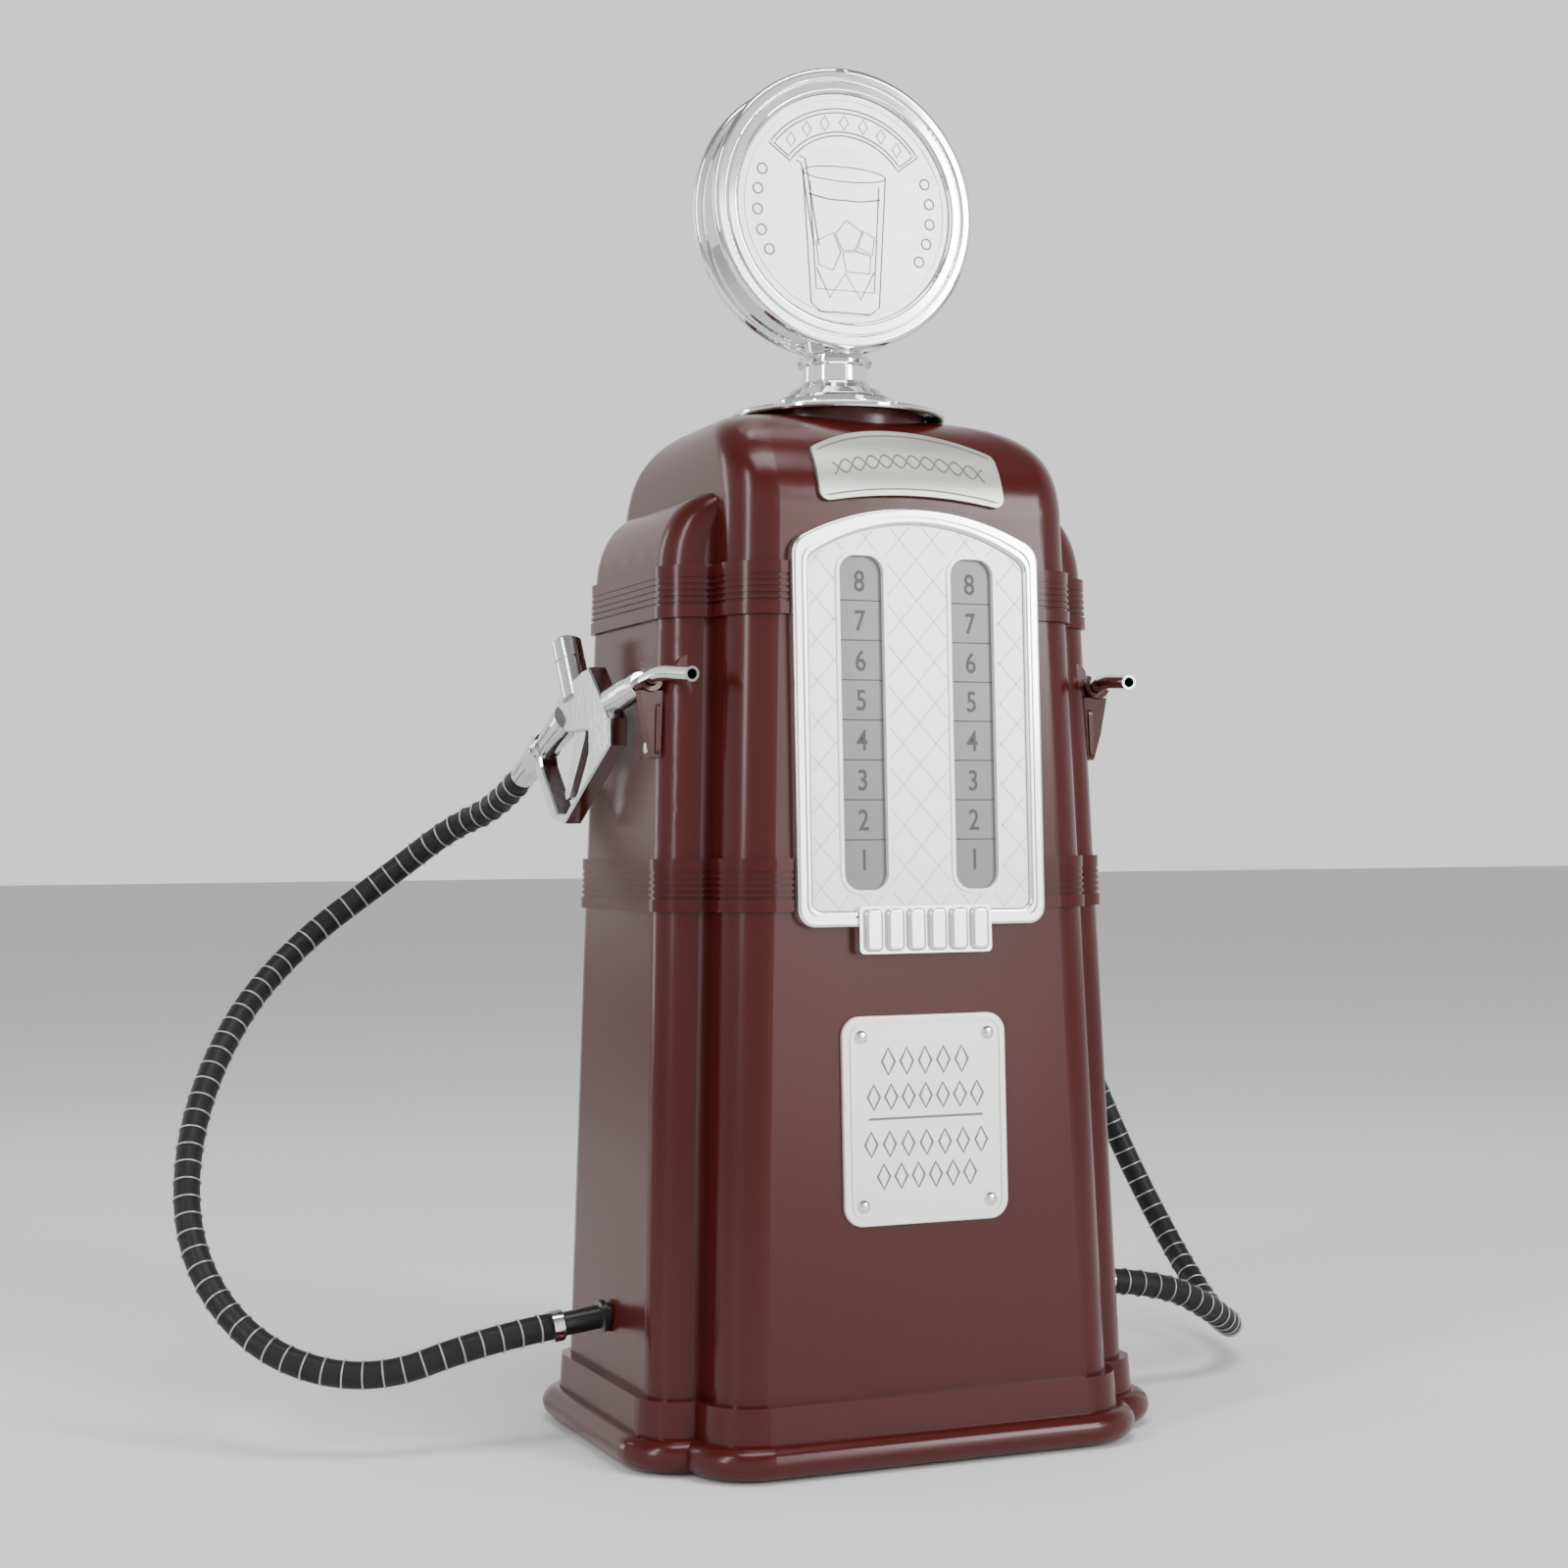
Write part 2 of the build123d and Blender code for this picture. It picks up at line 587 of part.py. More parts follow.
with BuildPart() as plaque:
    with BuildSketch(FRONT_WALL):
        with Locations((0, PLAQUE_MID)):
            RectangleRounded(PLAQUE_W, PLAQUE_H, PLAQUE_R)
    extrude(amount=PLAQUE_T)
    crest = plaque.faces().sort_by(Axis((0, 0, 0), FRONT_WALL.z_dir))[-1]
    fillet(crest.edges(), 0.5)
    with BuildSketch(FRONT_WALL.offset(PLAQUE_T)):
        with Locations((0, PLAQUE_MID)):
            RectangleRounded(PLAQUE_W - 4.4, PLAQUE_H - 4.4, PLAQUE_R - 1.8)
            RectangleRounded(PLAQUE_W - 5.6, PLAQUE_H - 5.6, PLAQUE_R - 2.4, mode=Mode.SUBTRACT)
    extrude(amount=-0.4, mode=Mode.SUBTRACT)
    with BuildSketch(FRONT_WALL):
        with Locations((0, PLAQUE_MID)):
            with GridLocations(PLAQUE_W - 2 * RIVET_INSET, PLAQUE_H - 2 * RIVET_INSET, 2, 2):
                Circle(1.1 + FIT)
    extrude(amount=PLAQUE_T, mode=Mode.SUBTRACT)
finish(plaque.part, "plaque")

with BuildPart() as plaque_rivets:
    for side in (-1, 1):
        for end in (-1, 1):
            spot = FRONT_WALL.from_local_coords(
                (side * (PLAQUE_W / 2 - RIVET_INSET), PLAQUE_MID + end * (PLAQUE_H / 2 - RIVET_INSET), PLAQUE_T)
            )
            head = Plane(origin=spot, x_dir=(1, 0, 0), z_dir=FRONT_WALL.z_dir)
            add(
                turned(
                    head,
                    (-PLAQUE_T, 1.1),
                    (0, 1.1),
                    (0, RIVET_R),
                    (0.5, RIVET_R - 0.15),
                    (1.0, 0.6 * RIVET_R),
                    (1.2, 0.3),
                )
            )
finish(plaque_rivets.part, "plaque_rivets")

with BuildPart() as name_plate:
    add(main_block(DOME_BASE - 20, DOME_BASE, NAME_T))
    add(dome(NAME_T))
    with BuildSketch(Plane.XZ) as outline:
        with BuildLine():
            low_arc = ThreePointArc(
                (-NAME_HALF_W, NAME_LOW[0]), (0, NAME_LOW[1]), (NAME_HALF_W, NAME_LOW[0])
            )
            high_arc = ThreePointArc(
                (-NAME_HALF_W, NAME_HIGH[0]), (0, NAME_HIGH[1]), (NAME_HALF_W, NAME_HIGH[0])
            )
            Line(low_arc @ 0, high_arc @ 0)
            Line(low_arc @ 1, high_arc @ 1)
        make_face()
        fillet(outline.vertices(), 3.2)
    extrude(amount=MAIN_HALF_D + 20, mode=Mode.INTERSECT)
    add(main_block(DOME_BASE - 21, DOME_BASE, FIT / 2), mode=Mode.SUBTRACT)
    add(dome(FIT / 2), mode=Mode.SUBTRACT)
finish(name_plate.part, "name_plate")

# ---------------------------------------------------------------- outlets
# Distances along the outlet axis from its outer end, measured back to the two faces of the wall
OUTLET_SLANT = sqrt(1 + PIPE_DROP**2)
WALL_OUT = (PIPE_END - (SIDE_HALF_W - LEAN_X * (PIPE_Z - 4))) * OUTLET_SLANT - 0.7
WALL_IN = (PIPE_END - (SIDE_HALF_W - LEAN_X * PIPE_Z - WALL)) * OUTLET_SLANT + 1.4
NUT_T = 4.0

with BuildPart() as outlet_pipe:
    add(
        turned(
            OUTLET,
            (-PIPE_L, PIPE_R),
            (-WALL_OUT, PIPE_R),
            (-WALL_OUT, PIPE_R + 1.4),
            (1.8 - WALL_OUT, PIPE_R + 1.4),
            (2.4 - WALL_OUT, PIPE_R),
            (0, PIPE_R),
        )
    )
    add(turned(OUTLET, (-PIPE_L - 1, PIPE_BORE), (1, PIPE_BORE)), mode=Mode.SUBTRACT)
finish_pair(outlet_pipe.part, "outlet_pipe")

with BuildPart() as outlet_nuts:
    with BuildSketch(OUTLET.offset(-WALL_IN)):
        RegularPolygon(PIPE_R + 4, 6)
        Circle(PIPE_R + RUN, mode=Mode.SUBTRACT)
    extrude(amount=-NUT_T)
    mirror(about=Plane.YZ)
finish(outlet_nuts.part, "outlet_nuts")

# ---------------------------------------------------------------- sign cap
SIGN_AXIS = Plane(origin=(0, 0, SIGN_Z), x_dir=(1, 0, 0), z_dir=(0, -1, 0))
DRUM_HALF_T = SIGN_T / 2 - 4.0

with BuildPart() as sign_drum:
    add(turned(SIGN_AXIS, (-DRUM_HALF_T, SIGN_DRUM_R), (DRUM_HALF_T, SIGN_DRUM_R)))
    add(turned(SIGN_AXIS, (-DRUM_HALF_T, SIGN_FACE_R), (DRUM_HALF_T, SIGN_FACE_R)), mode=Mode.SUBTRACT)
    with Locations((0, 0, SIGN_Z - SIGN_DRUM_R)):
        Cylinder(4.0 + FIT, 20, mode=Mode.SUBTRACT)
finish(sign_drum.part, "sign_drum")

with BuildPart() as bezel:
    with BuildSketch(Plane.XY) as ring:
        with Locations(((SIGN_R + SIGN_FACE_R) / 2, -(SIGN_T / 2 + DRUM_HALF_T) / 2)):
            Rectangle(SIGN_R - SIGN_FACE_R, SIGN_T / 2 - DRUM_HALF_T)
        fillet(ring.vertices().sort_by(Axis.X)[2:], 1.9)
        fillet(ring.vertices().group_by(Axis.X)[0].sort_by(Axis.Y)[:1], 1.2)
        with Locations((SIGN_R - 4.6, -SIGN_T / 2)):
            Circle(0.9, mode=Mode.SUBTRACT)
        with Locations((SIGN_R - 4.6, -SIGN_T / 2)):
            Rectangle(1.8, 1.4, mode=Mode.SUBTRACT)
    revolve(axis=Axis.Y)
finish(bezel.part.moved(Location((0, 0, SIGN_Z))), "sign_bezel_front")

with BuildPart() as bezel_rear:
    mirror(bezel.part, about=Plane.XZ)
finish(bezel_rear.part.moved(Location((0, 0, SIGN_Z))), "sign_bezel_rear")

FACE_OUT = SIGN_T / 2 - 1.4
FACE_T = 1.5

with BuildPart() as sign_face:
    face_r = SIGN_FACE_R - FIT
    add(turned(SIGN_AXIS, (FACE_OUT - FACE_T, face_r), (FACE_OUT - 0.3, face_r), (FACE_OUT, face_r - 0.3)))
    with BuildSketch(SIGN_AXIS.offset(FACE_OUT)):
        Circle(SIGN_FACE_R - 2.2)
        Circle(SIGN_FACE_R - 2.8, mode=Mode.SUBTRACT)
    extrude(amount=-0.3, mode=Mode.SUBTRACT)
finish(sign_face.part, "sign_face_front")

with BuildPart() as sign_face_rear:
    mirror(sign_face.part, about=Plane.XZ)
finish(sign_face_rear.part, "sign_face_rear")

STUD_R = 4.0
STUD_LOW = 340.0
STUD_HIGH = SIGN_Z - SIGN_DRUM_R + 8

with BuildPart() as sign_neck:
    add(
        turned(
            Plane.XY,
            (STUD_LOW, STUD_R),
            (NECK_BASE, STUD_R),
            (NECK_BASE, 12.4),
            (NECK_BASE + 0.8, 11.8),
            (NECK_BASE + 6.0, 11.6),
            (NECK_BASE + 6.8, 12.8),
            (NECK_BASE + 8.0, 13.4),
            (NECK_BASE + 9.4, 13.0),
            (NECK_BASE + 10.2, 11.0),
            (NECK_BASE + 11.4, 10.0),
            (NECK_BASE + 16.0, 11.0),
        )
    )
    add(
        turned(
            SIGN_AXIS,
            (-20, SIGN_R + FIT),
            (-DRUM_HALF_T + FIT, SIGN_R + FIT),
            (-DRUM_HALF_T + FIT, SIGN_DRUM_R + FIT / 2),
            (DRUM_HALF_T - FIT, SIGN_DRUM_R + FIT / 2),
            (DRUM_HALF_T - FIT, SIGN_R + FIT),
            (20, SIGN_R + FIT),
        ),
        mode=Mode.SUBTRACT,
    )
    with BuildSketch(Plane.XY.offset(NECK_BASE)):
        Circle(STUD_R)
    extrude(amount=STUD_HIGH - NECK_BASE)
finish(sign_neck.part, "sign_neck")

with BuildPart() as sign_flange:
    add(
        turned(
            Plane.XY,
            (SIGN_SEAT, BOSS_R + 0.6),
            (SIGN_SEAT - 0.4, BOSS_R + 0.7),
            (SIGN_SEAT - 1.4, FLANGE_R - 0.9),
            (SIGN_SEAT - 1.1, FLANGE_R - 0.3),
            (SIGN_SEAT - 0.5, FLANGE_R),
            (SIGN_SEAT + 0.4, FLANGE_R - 0.2),
            (SIGN_SEAT + 1.0, FLANGE_R - 0.9),
            (SIGN_SEAT + 1.3, 34.0),
            (SIGN_SEAT + 2.4, 27.0),
            (SIGN_SEAT + 3.6, 23.0),
            (SIGN_SEAT + 4.4, 21.6),
            (SIGN_SEAT + 5.6, 21.8),
            (SIGN_SEAT + 6.6, 21.0),
            (SIGN_SEAT + 7.2, 18.8),
            (SIGN_SEAT + 9.4, 16.8),
            (SIGN_SEAT + 11.0, 14.2),
            (NECK_BASE, 12.9),
        )
    )
    with BuildSketch(Plane.XY.offset(SIGN_SEAT)):
        Circle(STUD_R + FIT)
    extrude(amount=NECK_BASE - SIGN_SEAT, mode=Mode.SUBTRACT)
finish(sign_flange.part, "sign_flange")

PLUG_R = FILLER_R - 1.4
PLUG_LOW = 337.0
RING_Z = 343.6

with BuildPart() as stopper_plug:
    add(
        turned(
            Plane.XY,
            (PLUG_LOW, PLUG_R - 1.6),
            (PLUG_LOW + 2, PLUG_R),
            (RING_Z - 1, PLUG_R),
            (RING_Z - 1, PLUG_R - 1),
            (RING_Z + 1, PLUG_R - 1),
            (RING_Z + 1, PLUG_R),
            (SIGN_SEAT, PLUG_R),
        )
    )
    with BuildSketch(Plane.XY.offset(STUD_LOW)):
        Circle(STUD_R + FIT)
    extrude(amount=SIGN_SEAT - STUD_LOW, mode=Mode.SUBTRACT)
finish(stopper_plug.part, "stopper_plug")

with BuildPart() as stopper_ring:
    with BuildSketch(Plane.XZ):
        with Locations((PLUG_R + 0.12, RING_Z)):
            Circle(1.0)
    revolve(axis=Axis.Z)
finish(stopper_ring.part, "stopper_ring")

# ---------------------------------------------------------------- left nozzle, mirrored for the right
# NOZZLE is the nozzle's middle plane: first axis forward along the spout, second axis up, normal outward.
TOE = radians(NOZZLE_TOE_IN)
NOZZLE = Plane(
    origin=(-NOZZLE_X, NOZZLE_Y, NOZZLE_Z),
    x_dir=(sin(TOE), -cos(TOE), 0),
    z_dir=(-cos(TOE), -sin(TOE), 0),
)


def along(start, end):
    """Plane at a point of the nozzle's middle plane, with its normal towards a second point."""
    low = NOZZLE.from_local_coords((start[0], start[1], 0))
    high = NOZZLE.from_local_coords((end[0], end[1], 0))
    return Plane(origin=low, x_dir=NOZZLE.z_dir, z_dir=(high - low).normalized())


# Handle axis, spout axis and valve axis, each as two points of the middle plane
GRIP_FROM = (-52.0, -8.0)
GRIP_TO = (-94.0, -28.5)
GRIP_L = sqrt((GRIP_TO[0] - GRIP_FROM[0]) ** 2 + (GRIP_TO[1] - GRIP_FROM[1]) ** 2)
SPOUT_FROM = (-19.0, -0.6 - 19.0 * sin(radians(SPOUT_RISE)) / cos(radians(SPOUT_RISE)))
SPOUT_TO = (0.0, -0.6)
VALVE_FROM = (-46.4, -6.0)
VALVE_TO = (-57.2, 17.55)
GRIP_AXIS = along(GRIP_FROM, GRIP_TO)
SPOUT_AXIS = along(SPOUT_FROM, SPOUT_TO)
VALVE_AXIS = along(VALVE_FROM, VALVE_TO)
FERRULE_L = 19.0 / cos(radians(SPOUT_RISE))
PIVOT = (-40.0, -8.6)
PIVOT_R = 1.2

grip_outline = (
    (3.0, 5.6),
    (8.0, 5.6),
    (23.0, 4.3),
    (23.0, 5.1),
    (25.0, 5.4),
    (26.5, 5.1),
)
cap_outline = ((3.4, CAP_R), (17.2, CAP_R), (17.2, CAP_R - 0.45), (17.9, CAP_R - 0.45), (17.9, CAP_R))


def nozzle_half(sign):
    """One half of the nozzle casing: sign is +1 for the outer half and -1 for the wall side."""
    depth = sign * NOZZLE_HALF_T
    with BuildPart() as made:
        with BuildSketch(NOZZLE):
            with BuildLine():
                Polyline(
                    (-32.4, 6.8),
                    (-17.0, -11.2),
                    (-17.1, -20.3),
                    (-52.6, -46.0),
                    (-62.6, -44.0),
                    (-76.4, -26.6),
                    (-72.0, -18.0),
                    (-58.0, -11.5),
                    (-60.0, -6.0),
                    (-56.0, -0.7),
                    (-39.9, 4.9),
                    close=True,
                )
            make_face()
            with BuildLine():
                Polyline(
                    (-71.6, -22.0),
                    (-70.6, -25.6),
                    (-57.8, -42.2),
                    (-51.6, -42.8),
                    (-33.0, -29.2),
                    (-33.0, -14.6),
                    (-50.0, -14.6),
                    (-56.0, -12.0),
                    close=True,
                )
            make_face(mode=Mode.SUBTRACT)
        extrude(amount=depth)
        rim = made.faces().sort_by(Axis((0, 0, 0), NOZZLE.z_dir * sign))[-1]
        chamfer(rim.edges(), 0.6)
        # hollow for the trigger and the valve stem
        with BuildSketch(NOZZLE):
            with BuildLine():
                Polyline(
                    (-33.0, 3.4),
                    (-20.6, -11.8),
                    (-20.6, -19.2),
                    (-30.0, -26.0),
                    (-30.0, -15.0),
                    (-49.6, -15.0),
                    (-49.6, -3.0),
                    close=True,
                )
            make_face()
            with Locations((-26.0, -8.0), (-25.6, -17.6)):
                Circle(2.4, mode=Mode.SUBTRACT)
        extrude(amount=sign * NOZZLE_HOLLOW, mode=Mode.SUBTRACT)
        with BuildSketch(NOZZLE):
            with Locations(PIVOT):
                Circle(PIVOT_R + RUN)
        extrude(amount=sign * (NOZZLE_HALF_T - 0.5), mode=Mode.SUBTRACT)
        with BuildSketch(NOZZLE):
            with Locations((-26.0, -8.0), (-25.6, -17.6)):
                Circle(1.1)
        extrude(amount=sign * (NOZZLE_HALF_T - 0.7), mode=Mode.SUBTRACT)
        add(turned(GRIP_AXIS, *[(u, r + RUN) for u, r in grip_outline], (26.5, 6.1), (GRIP_L, 6.1)), mode=Mode.SUBTRACT)
        add(turned(VALVE_AXIS, (3.3, CAP_R + RUN), (30.0, CAP_R + RUN)), mode=Mode.SUBTRACT)
        add(turned(VALVE_AXIS, (-9.0, STEM_R + FIT), (6.0, STEM_R + FIT)), mode=Mode.SUBTRACT)
        add(turned(SPOUT_AXIS, (-2.0, 4.75), (FERRULE_L, 4.75)), mode=Mode.SUBTRACT)
    return made.part


with BuildPart() as nozzle_outer_half:
    add(nozzle_half(1))
finish_pair(nozzle_outer_half.part, "nozzle_outer_half")

with BuildPart() as nozzle_inner_half:
    add(nozzle_half(-1))
    with BuildSketch(NOZZLE):
        with Locations((-26.0, -8.0), (-25.6, -17.6)):
            Circle(1.1)
    extrude(amount=-NOZZLE_HALF_T, mode=Mode.SUBTRACT)
    with BuildSketch(NOZZLE.offset(-NOZZLE_HALF_T)):
        with Locations((-26.0, -8.0), (-25.6, -17.6)):
            Circle(2.0 + FIT)
    extrude(amount=0.9, mode=Mode.SUBTRACT)
finish_pair(nozzle_inner_half.part, "nozzle_inner_half")

with BuildPart() as nozzle_screws:
    for spot in ((-26.0, -8.0), (-25.6, -17.6)):
        head = Plane(
            origin=NOZZLE.from_local_coords((spot[0], spot[1], 0.9 - NOZZLE_HALF_T)),
            x_dir=NOZZLE.x_dir,
            z_dir=NOZZLE.z_dir,
        )
        add(turned(head, (-0.8, 1.6), (-0.4, 2.0), (0, 2.0), (0, 1.0), (5.0, 1.0)))
finish_pair(nozzle_screws.part, "nozzle_screws")

with BuildPart() as valve_cap:
    add(turned(VALVE_AXIS, *cap_outline, (25.0, CAP_R), (26.2, CAP_R - 1.2)))
    add(turned(VALVE_AXIS, (6.0, 3.4), (22.0, 3.4)), mode=Mode.SUBTRACT)
    add(turned(VALVE_AXIS, (0.0, STEM_R + RUN), (7.0, STEM_R + RUN)), mode=Mode.SUBTRACT)
finish_pair(valve_cap.part, "valve_cap")

# The trigger's nose bears on the foot of the stem: squeezing lifts the stem along the valve axis.
STEM_FOOT = -4.4

with BuildPart() as valve_stem:
    add(
        turned(
            VALVE_AXIS,
            (STEM_FOOT, 0.5),
            (STEM_FOOT + 0.5, 1.2),
            (STEM_FOOT + 0.9, STEM_R),
            (8.0, STEM_R),
            (8.0, 3.0),
            (9.4, 3.0),
            (9.4, 1.2),
            (13.0, 1.2),
        )
    )
finish_pair(valve_stem.part, "valve_stem")

SPRING_LOW = 9.9
SPRING_HIGH = 21.7
WIRE_R = 0.35

with BuildPart() as valve_spring:
    with BuildLine():
        coil = Helix(2.1, SPRING_HIGH - SPRING_LOW, 2.4)
    with BuildSketch(Plane(origin=coil @ 0, z_dir=coil % 0)):
        Circle(WIRE_R)
    sweep(is_frenet=True)
finish_pair(valve_spring.part.moved(VALVE_AXIS.offset(SPRING_LOW).location), "valve_spring")

with BuildPart() as trigger:
    with BuildSketch(NOZZLE.offset(-TRIGGER_T / 2)):
        with BuildLine():
            Polyline(
                (-40.0, -6.1),
                (-42.6, -9.2),
                (-46.53, -11.0),
                (-47.3, -14.0),
                (-50.4, -25.0),
                (-55.6, -35.6),
                (-54.6, -37.8),
                (-52.2, -37.0),
                (-45.0, -26.0),
                (-39.6, -17.0),
                (-38.0, -10.2),
                close=True,
            )
        make_face()
        with Locations(PIVOT):
            Circle(2.6)
        with Locations(PIVOT):
            Circle(PIVOT_R + RUN, mode=Mode.SUBTRACT)
    extrude(amount=TRIGGER_T)
finish_pair(trigger.part, "trigger")

with BuildPart() as trigger_pin:
    with BuildSketch(NOZZLE.offset(0.6 - NOZZLE_HALF_T)):
        with Locations(PIVOT):
            Circle(PIVOT_R)
    extrude(amount=2 * NOZZLE_HALF_T - 1.2)
finish_pair(trigger_pin.part, "trigger_pin")

with BuildPart() as spout_ferrule:
    add(
        turned(
            SPOUT_AXIS,
            (-1.8, 4.7),
            (4.0, 4.7),
            (9.0, 4.4),
            (FERRULE_L - 3.4, 3.8),
            (FERRULE_L - 3.0, 4.3),
            (FERRULE_L - 0.4, 4.3),
            (FERRULE_L, 4.0),
        )
    )
    add(turned(SPOUT_AXIS, (-2.0, SPOUT_R + RUN), (FERRULE_L + 1, SPOUT_R + RUN)), mode=Mode.SUBTRACT)
finish_pair(spout_ferrule.part, "spout_ferrule")

SPOUT_BEND = (13.0, -0.6 + 13.0 * sin(radians(SPOUT_RISE)) / cos(radians(SPOUT_RISE)))
SPOUT_TIP = (35.4, 0.4)

with BuildPart() as spout:
    with BuildLine(NOZZLE):
        centre = FilletPolyline(SPOUT_FROM, SPOUT_BEND, SPOUT_TIP, radius=45)
    with BuildSketch(Plane(origin=centre @ 0, x_dir=NOZZLE.z_dir, z_dir=centre % 0)):
        Circle(SPOUT_R)
        Circle(SPOUT_BORE, mode=Mode.SUBTRACT)
    sweep()
finish_pair(spout.part, "spout")

with BuildPart() as grip_tube:
    add(turned(GRIP_AXIS, *grip_outline, (GRIP_L - 12.0, 5.1), (GRIP_L - 1.0, 4.5), (GRIP_L, 4.5)))
    with BuildSketch(GRIP_AXIS.offset(27.0)):
        RegularPolygon(5.9, 6)
    extrude(amount=8.0)
    add(turned(GRIP_AXIS, (0.0, 2.4), (GRIP_L + 1, 2.4)), mode=Mode.SUBTRACT)
finish_pair(grip_tube.part, "grip_tube")

# ---------------------------------------------------------------- hooks on the side walls
HOOK_T = 1.5
HOOK_PAD = (25.0, 37.6)  # from front to back, ahead of the middle of the wall
HOOK_SCREWS = ((28.2, 232.5), (28.2, 243.0))
CRADLE_GAP = 0.35
CRADLE_R = SPOUT_R + CRADLE_GAP
CRADLE_T = 1.6
CRADLE_FROM = 2.0  # ahead of the ferrule
CRADLE_L = 5.0
lift = radians(NOZZLE_LIFT_LEAN)
cradle_start = SPOUT_AXIS.from_local_coords((0, 0, FERRULE_L + CRADLE_FROM))
lift_dir = Vector(-sin(lift), 0, cos(lift))
cradle_x = lift_dir.cross(SPOUT_AXIS.z_dir)
CRADLE = Plane(origin=cradle_start, x_dir=cradle_x, z_dir=SPOUT_AXIS.z_dir)
cradle_inward = 1 if CRADLE.x_dir.X > 0 else -1
GUSSET_LOW = 229.0
HOOK_PAD_TOP = 247.5

with BuildPart() as hook:
    with BuildSketch(LEFT_WALL):
        with Locations((sum(HOOK_PAD) / 2, (GUSSET_LOW + HOOK_PAD_TOP) / 2)):
            RectangleRounded(HOOK_PAD[1] - HOOK_PAD[0], HOOK_PAD_TOP - GUSSET_LOW, 2.5)
    extrude(amount=HOOK_T)
    with BuildSketch(CRADLE):
        Circle(CRADLE_R + CRADLE_T)
        with Locations((0, CRADLE_R + CRADLE_T)):
            Rectangle(3 * CRADLE_R + 8, 2 * (CRADLE_R + CRADLE_T), mode=Mode.SUBTRACT)
        with Locations((cradle_inward * (CRADLE_R + CRADLE_T / 2), 1.2)):
            Rectangle(CRADLE_T, 2.6)
        Circle(CRADLE_R, mode=Mode.SUBTRACT)
    extrude(amount=CRADLE_L)
    # tapered web from the cradle down the wall
    web = Plane(origin=NOZZLE.from_local_coords((CRADLE_FROM + 0.6, 0, 0)), x_dir=-NOZZLE.z_dir, z_dir=NOZZLE.x_dir)
    with BuildSketch(web):
        with BuildLine():
            Polyline(
                (-3.6, -3.2),
                (5.2, -3.2),
                (5.2, GUSSET_LOW - NOZZLE_Z),
                (1.4, GUSSET_LOW - NOZZLE_Z),
                (-1.2, -16.0),
                close=True,
            )
        make_face()
    extrude(amount=CRADLE_L - 1.2)
    add(turned(SPOUT_AXIS, (-2.0, CRADLE_R), (FERRULE_L + 16.0, CRADLE_R)), mode=Mode.SUBTRACT)
    add(hull.part, mode=Mode.SUBTRACT)
    with BuildSketch(LEFT_WALL):
        with Locations(*HOOK_SCREWS):
            Circle(1.25)
    extrude(amount=HOOK_T + 1, mode=Mode.SUBTRACT)
finish_pair(hook.part, "hook")

with BuildPart() as hook_screws:
    for forward, height in HOOK_SCREWS:
        spot = LEFT_WALL.from_local_coords((forward, height, HOOK_T))
        head = Plane(origin=spot, x_dir=(0, 1, 0), z_dir=LEFT_WALL.z_dir)
        add(turned(head, (-HOOK_T, 1.15), (0, 1.15), (0, 2.0), (0.4, 1.9), (0.7, 1.2), (0.8, 0.3)))
    mirror(about=Plane.YZ)
finish(hook_screws.part, "hook_screws")

# ---------------------------------------------------------------- hoses
hose_from = GRIP_AXIS.from_local_coords((0, 0, GRIP_L))
left_lead = GRIP_AXIS.from_local_coords((0, 0, GRIP_L + 24.2))
right_lead = GRIP_AXIS.from_local_coords((0, 0, GRIP_L + 26.2))
outlet = OUTLET.origin
outlet_lead = OUTLET.from_local_coords((0, 0, 23.5))

LEFT_ROUTE = [
    (-111.5, 105.1, 207.5),
    (-129.9, 121.0, 190.7),
    (-164.3, 124.7, 165.4),
    (-194.3, 102.9, 137.0),
    (-214.1, 77.0, 98.8),
    (-216.9, 52.8, 61.8),
    (-199.2, 25.0, 34.1),
    (-165.8, 7.3, 24.6),
]
RIGHT_ROUTE = [
    (108.2, 101.9, 195.0),
    (124.5, 111.6, 167.9),
    (140.6, 118.2, 141.1),
    (160.3, 120.3, 119.6),
    (179.8, 118.0, 73.3),
    (193.1, 98.1, 31.5),
    (190.0, 62.2, 10.6),
    (176.8, 26.7, 12.7),
    (153.5, 5.7, 25.3),
]


def hose(start, start_lead, route, end_lead, end):
    """Hose as straight runs joined by the largest tangent arcs that the runs allow."""
    points = [Vector(*p) for p in [start, start_lead, *route, end_lead, end]]
    runs = [b - a for a, b in zip(points, points[1:])]
    radii = []
    for before, after in zip(runs, runs[1:]):
        half_turn = radians(before.get_angle(after)) / 2
        radii.append(0.45 * min(before.length, after.length) * cos(half_turn) / sin(half_turn))
    with BuildPart() as made:
        with BuildLine() as centre:
            FilletPolyline(*points, radius=radii)
        with BuildSketch(Plane(origin=points[0], z_dir=runs[0])):
            Circle(HOSE_D / 2)
        sweep()
    length = centre.wires()[0].length
    print("hose length", round(length, 1), "radii", [round(r) for r in radii])
    print("  runs", [round(run.length) for run in runs])
    print("  volume over section times length", round(made.part.volume / (pi * HOSE_D**2 / 4 * length), 4))
    return made.part


with BuildPart() as hose_left:
    add(hose(hose_from, left_lead, LEFT_ROUTE, outlet_lead, outlet))
finish(hose_left.part, "hose_left")

right = [Vector(-p.X, p.Y, p.Z) for p in (hose_from, right_lead, outlet_lead, outlet)]
with BuildPart() as hose_right:
    add(hose(right[0], right[1], RIGHT_ROUTE, right[2], right[3]))
finish(hose_right.part, "hose_right")

